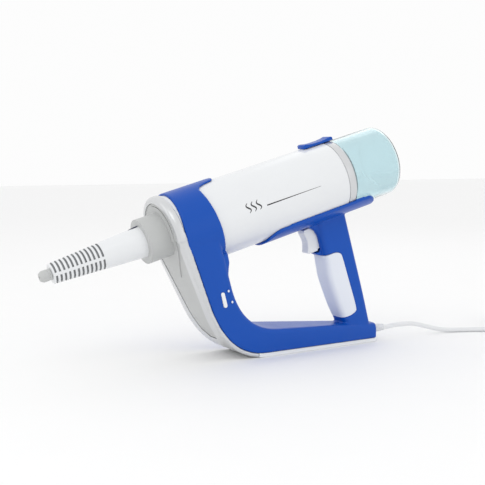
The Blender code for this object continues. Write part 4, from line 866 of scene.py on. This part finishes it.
class SteamMopNozzle(bpy.types.Operator):
    """Builds the ribbed nozzle, its tip, its socket and the release lever"""

    bl_idname = "steam_mop.nozzle"
    bl_label = "Steam nozzle"

    def execute(self, context):
        count = sizes().rib_count
        pitch = 60 * MM / count
        deep = sizes().rib_groove
        root = -156.3 * MM
        profile = [(11.3 * MM, root), (19.5 * MM, root), (19.5 * MM, TAPER_S)]
        for k in range(count):
            edge = NOSE_S + pitch * (count - k) - 1.2 * MM
            end = edge - 0.42 * pitch
            for s, depth in ((edge + 0.3 * MM, 0), (edge + 0.05 * MM, 0.12),
                             (edge - 0.08 * MM, 0.9), (edge - 0.3 * MM, 1),
                             (end + 0.3 * MM, 1), (end + 0.08 * MM, 0.9),
                             (end - 0.05 * MM, 0.12), (end - 0.3 * MM, 0)):
                profile.append((nozzle_radius(s) - deep * depth, s))
        profile += [(nozzle_radius(NOSE_S) - 0.1 * MM, NOSE_S + 0.8 * MM),
                    (nozzle_radius(NOSE_S) - 0.9 * MM, NOSE_S), (4 * MM, NOSE_S),
                    (4 * MM, NOSE_S + 10 * MM), (7.6 * MM, NOSE_S + 14 * MM),
                    (10.3 * MM, NOSE_S + 60 * MM), (10.3 * MM, root - 12 * MM),
                    (4 * MM, root - 8 * MM), (4 * MM, root - 2.6 * MM),
                    (11.3 * MM, root - 2.6 * MM), (11.3 * MM, root)]
        body = turned(profile, 128, NOZZLE_V)
        rear = NOSE_S + 64 * MM
        for sign in (-1, 1):
            spine = [(NOSE_S + 0.4 * MM, sign * 8 * MM),
                     (NOSE_S + 0.4 * MM, sign * (nozzle_radius(NOSE_S) - 0.15 * MM)),
                     (rear, sign * (nozzle_radius(rear) - 0.12 * MM)), (rear, sign * 11.5 * MM)]
            fin = slab(spine, NOZZLE_V - 1.7 * MM, NOZZLE_V + 1.7 * MM, "XY", BARREL)
            body = combine(body, fin, "UNION")
        lever_low = NOZZLE_V + 12.6 * MM
        pocket = slab(lever_plan(0.35 * MM), lever_low, 40 * MM, "XY", BARREL)
        body = combine(body, pocket)
        made = piece("steam_nozzle", body, finish("white_gloss"), "nozzle",
                     ("nozzle",), 38)
        # Faces on the groove floors get the grey painted shade in place of the white, standing in for the
        # shadow in the grooves.
        made.data.materials.append(finish("painted_groove_shade"))
        to_axis = Matrix.Translation((0, 0, -NOZZLE_V)) @ BARREL.inverted()
        for face in made.data.polygons:
            spot = to_axis @ face.center
            away = math.hypot(spot.y, spot.z)
            ribbed = NOSE_S + 1.5 * MM < spot.x < NOSE_S + 62 * MM
            if ribbed and nozzle_radius(spot.x) - 2.6 * MM < away < nozzle_radius(spot.x) - MM:
                face.material_index = 1
        lever = slab(lever_plan(0.0), lever_low + 2.2 * MM, 26 * MM, "XY", BARREL)
        top = turned([(0, -203 * MM), (nozzle_radius(-203 * MM), -203 * MM),
                      (nozzle_radius(-195 * MM) + 0.9 * MM, -195 * MM),
                      (20.9 * MM, -163 * MM), (0, -163 * MM)], 96, NOZZLE_V)
        lever = combine(lever, top, "INTERSECT")
        piece("release_lever", lever, finish("navy_gloss"), "release",
              ("nozzle_release",), 35)
        tip_end = NOSE_S - 13 * MM
        tip = turned(rounded([(1.6 * MM, NOSE_S - GAP), (6.6 * MM, NOSE_S - GAP),
                              (6.6 * MM, NOSE_S - 2.2 * MM), (6.1 * MM, NOSE_S - 2.6 * MM),
                              (6.1 * MM, NOSE_S - 3.6 * MM), (6.6 * MM, NOSE_S - 4.0 * MM),
                              (6.5 * MM, tip_end + 3.2 * MM), (4.6 * MM, tip_end),
                              (1.6 * MM, tip_end), (1.6 * MM, NOSE_S - GAP)],
                             0.35 * MM, 3), 96, NOZZLE_V)
        piece("steam_tip", tip, finish("grey_satin"), "nozzle", ("nozzle_tip",), 35)
        cup = COLLAR_FRONT_S - 2 * MM
        socket = turned(rounded([(3.8 * MM, -150 * MM), (26 * MM, -150 * MM),
                                 (26 * MM, -170.5 * MM), (20.8 * MM, -170.5 * MM),
                                 (20.1 * MM, cup), (3.8 * MM, cup), (3.8 * MM, -150 * MM)],
                                [0.4 * MM, 2.2 * MM, 0.6 * MM, 0.3 * MM, 0.3 * MM], 6), 128,
                        NOZZLE_V)
        piece("socket_collar", socket, finish("dark_satin"), "frame",
              ("nozzle_socket",), 40)
        return {"FINISHED"}


def lever_plan(extra):
    """Plan outline of the release lever: a narrow wedge with its point at the front."""
    return [(-201 * MM - extra, -0.6 * MM - extra), (-201 * MM - extra, 0.6 * MM + extra),
            (-186 * MM, 2.4 * MM + extra), (-173 * MM + extra, 3.4 * MM + extra),
            (-173 * MM + extra, -3.4 * MM - extra), (-186 * MM, -2.4 * MM - extra)]


TRIGGER_SIDE = [(14.2, -50.2), (13.4, -53.5), (14.6, -58.5), (15.6, -64), (15.2, -69.5),
                (13.6, -75), (12.7, -78.6), (15.4, -80.3)]


class SteamMopHandle(bpy.types.Operator):
    """Builds the soft grip insert, the trigger and the indicator window"""

    bl_idname = "steam_mop.handle"
    bl_label = "Grip, trigger and window"

    def execute(self, context):
        grip = skin(stations_of_handle(0.0))
        zone = slab(grip_outline(GAP), -40 * MM, 40 * MM)
        core = skin(stations_of_handle(2.3 * MM))
        grip = combine(combine(grip, zone, "INTERSECT"), core)
        piece("grip_sleeve", grip, finish("soft_grip"), "frame", ("grip_insert",), 35)
        front = [tuple(p) for p in smooth_curve([(s * MM, v * MM) for s, v in TRIGGER_SIDE], 5)]
        rear = [(s * MM, v * MM) for s, v in (
            (27, -80.4), (28.5, -78), (40, -78), (40, -69), (46, -67), (46.8, -59),
            (43, -50.6), (37, -49.5), (20, -49.5))]
        lever = slab(front + rear, -7 * MM, 7 * MM, "XZ", BARREL, 1.3 * MM, 4)
        lever = combine(lever, rod(at(37 * MM, -54 * MM, -20 * MM), at(37 * MM, -54 * MM,
                                                                      20 * MM), 2.3 * MM))
        piece("trigger_lever", lever, finish("white_gloss"), "trigger",
              ("trigger",), 40)
        low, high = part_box("indicator_window")
        pane = slab(window_outline(2.3 * MM), low.y, high.y, "XZ", None, 0.35 * MM, 3)
        piece("window_pane", pane, finish("indicator_white"), "frame",
              ("indicator_window",))
        return {"FINISHED"}


# --- printed marks ---------------------------------------------------------------------------------
def printed(path, widths, r):
    """A printed line on the barrel; the path is (s, angle) and the widths run along it."""
    sections = []
    height = sizes().mark_height
    for k, (s, angle) in enumerate(path):
        before = path[max(k - 1, 0)]
        after = path[min(k + 1, len(path) - 1)]
        ds, da = after[0] - before[0], (after[1] - before[1]) * r
        span = math.hypot(ds, da) or 1.0
        half = widths[k] / 2
        section = []
        for side, lift in ((-1, -0.04 * MM), (1, -0.04 * MM), (1, height), (-1, height)):
            a = angle + side * half * ds / span / r
            along = s - side * half * da / span
            section.append(at(along, (r + lift) * math.sin(a), -(r + lift) * math.cos(a)))
        sections.append(section)
    return skin(sections)


def steam_lines():
    """Three wavy lines of rising steam, as (s, angle) paths with their widths."""
    marks = []
    for number in range(3):
        path, widths = [], []
        for k in range(25):
            t = k / 24
            s = (-70 + number * 7 + 2.4 * math.sin(t * 2 * math.pi)) * MM
            path.append((s, math.radians(2 + 15 * t)))
            widths.append((0.5 + 1.3 * math.sin(math.pi * min(max(t, 0.04), 0.96))) * MM)
        marks.append((path, widths))
    return marks


class SteamMopMarks(bpy.types.Operator):
    """Builds the plain printed marks on the barrel and beside the window"""

    bl_idname = "steam_mop.marks"
    bl_label = "Printed marks"

    def execute(self, context):
        marks = [printed(path, widths, BARREL_R) for path, widths in steam_lines()]
        path, widths = [], []
        for k in range(61):
            t = k / 60
            path.append(((-46 + 76 * t) * MM, math.radians(4.5)))
            widths.append((1.5 - 1.2 * t) * MM)
        marks.append(printed(path, widths, BARREL_R))
        piece("barrel_marks", joined(*marks), finish("print_ink"), "frame")
        low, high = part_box("indicator_window")
        dots = []
        for x, z in ((-92.7, 83.0), (-87.5, 69.9)):
            face = -half_width_at(z * MM) - 0.05 * MM
            outline = [(x * MM + 1.1 * MM * math.cos(k * math.pi / 8),
                        z * MM + 1.5 * MM * math.sin(k * math.pi / 8)) for k in range(16)]
            dots.append(slab(outline, face - 0.12 * MM, face + 0.6 * MM))
        piece("window_symbols", joined(*dots), finish("soft_grip"), "frame")
        return {"FINISHED"}


def half_width_at(z):
    """Half width of the leg at a height."""
    pairs = [(SHELL_EDGE[k].y, half_width(k)) for k in range(3 * STEPS)]
    return min(pairs, key=lambda pair: abs(pair[0] - z))[1]


# --- cord ------------------------------------------------------------------------------------------
CORD_ROUTE = [(0.1543, 0, 0.015), (0.160, 0, 0.015), (0.176, 0, 0.0163),
              (0.200, -0.0005, 0.0158), (0.222, -0.0015, 0.0106), (0.243, -0.004, 0.0052),
              (0.262, -0.008, 0.0032), (0.290, -0.018, 0.0032), (0.320, -0.034, 0.0032),
              (0.352, -0.0533, 0.0032), (0.375, -0.0593, 0.0032), (0.396, -0.0603, 0.0032)]
CORD_TAIL = [(0.362, -0.0275, 0.0333), (0.368, -0.0365, 0.0338), (0.377, -0.0435, 0.0363),
             (0.385, -0.0445, 0.0383), (0.3914, -0.0445, 0.0383)]
TURN_RADII = (46.0, 39.7, 33.3, 27.0)
LAYERS = 5
PER_TURN = 36


def coil_points():
    """The wound length: flat turns that step over by one diameter, layer on layer."""
    radii = []
    for layer in range(LAYERS):
        order = TURN_RADII if layer % 2 == 0 else TURN_RADII[::-1]
        radii += [(r * MM, (3.2 + 6.02 * layer) * MM) for r in order]
    last = len(radii) - 1
    tail = Vector(CORD_TAIL[0])
    centre = Vector((COIL_AT[0], COIL_AT[1], 0))
    reach = (tail.xy - centre.xy).length
    finish_angle = math.atan2(tail.y - centre.y, tail.x - centre.x) % (2 * math.pi)
    start_angle = 1.5 * math.pi
    points = []
    before = (52.3 * MM, 3.2 * MM)
    for number, (r, z) in enumerate(radii):
        sweep = 2 * math.pi
        if number == last:
            sweep = (finish_angle - start_angle) % (2 * math.pi) - math.radians(70)
        steps = int(PER_TURN * sweep / (2 * math.pi))
        for k in range(1, steps + 1):
            turn = sweep * k / steps
            share = min(turn / math.radians(55), 1.0)
            share = share * share * (3 - 2 * share)
            angle = start_angle + turn
            here = before[0] + (r - before[0]) * share
            height = before[1] + (z - before[1]) * share
            points.append(centre + Vector((here * math.cos(angle), here * math.sin(angle),
                                           height)))
        before = (r, z)
    begin = start_angle + sweep
    for k in range(1, 10):
        share = k / 10
        soft = share * share * (3 - 2 * share)
        angle = begin + math.radians(70) * share
        here = before[0] + (reach - before[0]) * soft
        points.append(centre + Vector((here * math.cos(angle), here * math.sin(angle),
                                       before[1] + (tail.z - before[1]) * soft)))
    return points


def cord_points():
    """The whole cord, from the strain relief to the plug."""
    route = [Vector((p.x, p.y, max(p.z, 0.0032))) for p in smooth_curve(CORD_ROUTE, 3)]
    return route + coil_points() + [Vector(p) for p in smooth_curve(CORD_TAIL, 3)]


class SteamMopCord(bpy.types.Operator):
    """Builds the mains cord with its neat coil and the strain relief"""

    bl_idname = "steam_mop.cord"
    bl_label = "Mains cord"

    def execute(self, context):
        points = cord_points()
        data = bpy.data.curves.new("mains_cord", "CURVE")
        data.dimensions = "3D"
        data.bevel_depth = CORD_R
        data.bevel_resolution = 3
        data.use_fill_caps = True
        spline = data.splines.new("POLY")
        spline.points.add(len(points) - 1)
        for point, place in zip(spline.points, points):
            point.co = (*place, 1.0)
        spline.use_smooth = True
        data.materials.append(finish("cable_jacket"))
        cable = bpy.data.objects.new("mains_cord", data)
        context.scene.collection.objects.link(cable)
        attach(cable, "frame")
        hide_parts("power_cord", "cord_coil", "cord_tail")
        turn = Matrix.Translation((0, 0, 15 * MM))
        profile = [(3.05 * MM, 128 * MM), (6.4 * MM, 127.6 * MM), (6.4 * MM, 130.2 * MM),
                   (5.8 * MM, 130.2 * MM), (5.8 * MM, 134.4 * MM)]
        for k in range(5):
            s = (136.2 + 3.4 * k) * MM
            r = (5.7 - 0.29 * k) * MM
            profile += [(r, s), (r - 1.1 * MM, s + 0.5 * MM), (r - 1.1 * MM, s + 1.2 * MM),
                        (r - 0.15 * MM, s + 1.7 * MM)]
        profile += [(4.2 * MM, 153.6 * MM), (3.9 * MM, 154 * MM), (3.05 * MM, 154 * MM),
                    (3.05 * MM, 128 * MM)]
        relief = turned(profile, 64, 0.0, turn)
        piece("cord_relief", relief, finish("cable_jacket"), "frame",
              ("strain_relief",), 40)
        return {"FINISHED"}


# --- inside parts and the stage ------------------------------------------------------------------
class SteamMopInside(bpy.types.Operator):
    """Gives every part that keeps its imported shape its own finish"""

    bl_idname = "steam_mop.inside"
    bl_label = "Inside parts"

    def execute(self, context):
        finishes = {
            "blue_plastic": "blue_gloss", "white_plastic": "white_gloss",
            "grey_plastic": "grey_satin", "dark_plastic": "dark_satin",
            "silver_trim": "silver_paint", "silver_plastic": "silver_paint",
            "steel": "bright_metal", "brass": "brass_metal", "cord_jacket": "cable_jacket",
            "cast_aluminium": "cast_metal", "seal_rubber": "black_rubber",
            "silicone_hose": "hose_rubber", "circuit_board": "board_green",
            "pump_body": "dark_satin", "soft_grip": "soft_grip", "aqua_tank": "clear_tank",
        }
        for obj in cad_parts.values():
            for place in obj.material_slots:
                base = place.material.name.split(".")[0] if place.material else ""
                if base in finishes:
                    place.material = finish(finishes[base])
                elif place.material:
                    place.material = finish("grey_satin")
        return {"FINISHED"}


class SteamMopSprings(bpy.types.Operator):
    """Builds the two wire springs of the latch and the trigger as copies of the imported coils"""

    bl_idname = "steam_mop.springs"
    bl_label = "Springs"

    def execute(self, context):
        for name, joint, fixed_s, v, travel in (
                ("latch_spring", "latch_slide", 38.3 * MM, 39.5 * MM, 6.4 * MM),
                ("trigger_spring", "trigger_pull", 59.7 * MM, -73.5 * MM, 4.8 * MM)):
            bm = bmesh.new()
            bm.from_mesh(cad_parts[name].data)
            settle(bm, 2e-6)
            wire = piece(name.replace("spring", "coil"), bm, finish("bright_metal"), "frame",
                         (name,), 60)
            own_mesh(wire)
        return {"FINISHED"}


def area_light(name, place, target, power, size, tint=(1, 1, 1)):
    """A soft rectangular light aimed at a point."""
    data = bpy.data.lights.new(name, "AREA")
    data.energy = power
    data.shape = "RECTANGLE"
    data.size, data.size_y = size
    data.color = tint
    lamp = bpy.data.objects.new(name, data)
    lamp.location = place
    aim = Vector(target) - Vector(place)
    lamp.rotation_euler = aim.to_track_quat("-Z", "Y").to_euler()
    bpy.context.scene.collection.objects.link(lamp)


class SteamMopStage(bpy.types.Operator):
    """Sets the camera, the pale floor and the soft studio lights"""

    bl_idname = "steam_mop.stage"
    bl_label = "Camera, floor and lights"

    def execute(self, context):
        scene = context.scene
        data = bpy.data.cameras.new("camera")
        data.lens = 74.2
        data.sensor_width = 36.0
        camera = bpy.data.objects.new("camera", data)
        camera.location = (-0.6140, -1.0457, 0.2413)
        camera.rotation_euler = (math.radians(90 - 5.17), 0.0, math.radians(-28.19))
        scene.collection.objects.link(camera)
        scene.camera = camera
        bm = bmesh.new()
        bmesh.ops.create_grid(bm, x_segments=2, y_segments=2, size=6.0)
        floor = as_object("studio_floor", bm, finish("floor_paper"), 0)
        world = bpy.data.worlds.new("studio")
        world.use_nodes = True
        world.node_tree.nodes["Background"].inputs["Color"].default_value = (1, 1, 1, 1)
        world.node_tree.nodes["Background"].inputs["Strength"].default_value = 0.98
        scene.world = world
        area_light("key", (-0.7, -0.9, 1.5), (0, 0, 0.12), 2.4, (1.1, 0.8))
        area_light("side", (-1.3, 0.3, 0.7), (-0.1, 0, 0.15), 0.8, (0.5, 1.0))
        area_light("back", (0.9, 0.9, 1.3), (0, 0, 0.15), 1.2, (0.9, 0.9))
        area_light("front", (0.5, -1.5, 0.5), (0, 0, 0.12), 0.4, (0.5, 0.9))
        scene.view_settings.view_transform = "Standard"
        return {"FINISHED"}


class SteamMopPanel(bpy.types.Panel):
    """Sizes, colours and build steps of the hand unit"""

    bl_idname = "VIEW3D_PT_steam_mop"
    bl_label = "Steam mop hand unit"
    bl_space_type = "VIEW_3D"
    bl_region_type = "UI"
    bl_category = "Steam Mop"

    def draw(self, context):
        for group in (context.scene.steam_mop_sizes, context.scene.steam_mop_colours):
            for key in group.__annotations__:
                self.layout.prop(group, key)
        for step in STEPS_IN_ORDER:
            self.layout.operator(step.bl_idname)


STEPS_IN_ORDER = (SteamMopStage, SteamMopCord, SteamMopInside, SteamMopFrame, SteamMopNose,
                  SteamMopBarrel, SteamMopTank, SteamMopNozzle, SteamMopHandle, SteamMopSprings,
                  SteamMopMarks)
CLASSES = (SteamMopSizes, SteamMopColours, *STEPS_IN_ORDER, SteamMopPanel)


def register():
    for made in CLASSES:
        bpy.utils.register_class(made)
    bpy.types.Scene.steam_mop_sizes = bpy.props.PointerProperty(type=SteamMopSizes)
    bpy.types.Scene.steam_mop_colours = bpy.props.PointerProperty(type=SteamMopColours)


def unregister():
    del bpy.types.Scene.steam_mop_colours
    del bpy.types.Scene.steam_mop_sizes
    for made in reversed(CLASSES):
        bpy.utils.unregister_class(made)


def main():
    """Builds every piece in order."""
    register()
    for step in STEPS_IN_ORDER:
        group, name = step.bl_idname.split(".")
        getattr(getattr(bpy.ops, group), name)()


if __name__ == "__main__":
    main()
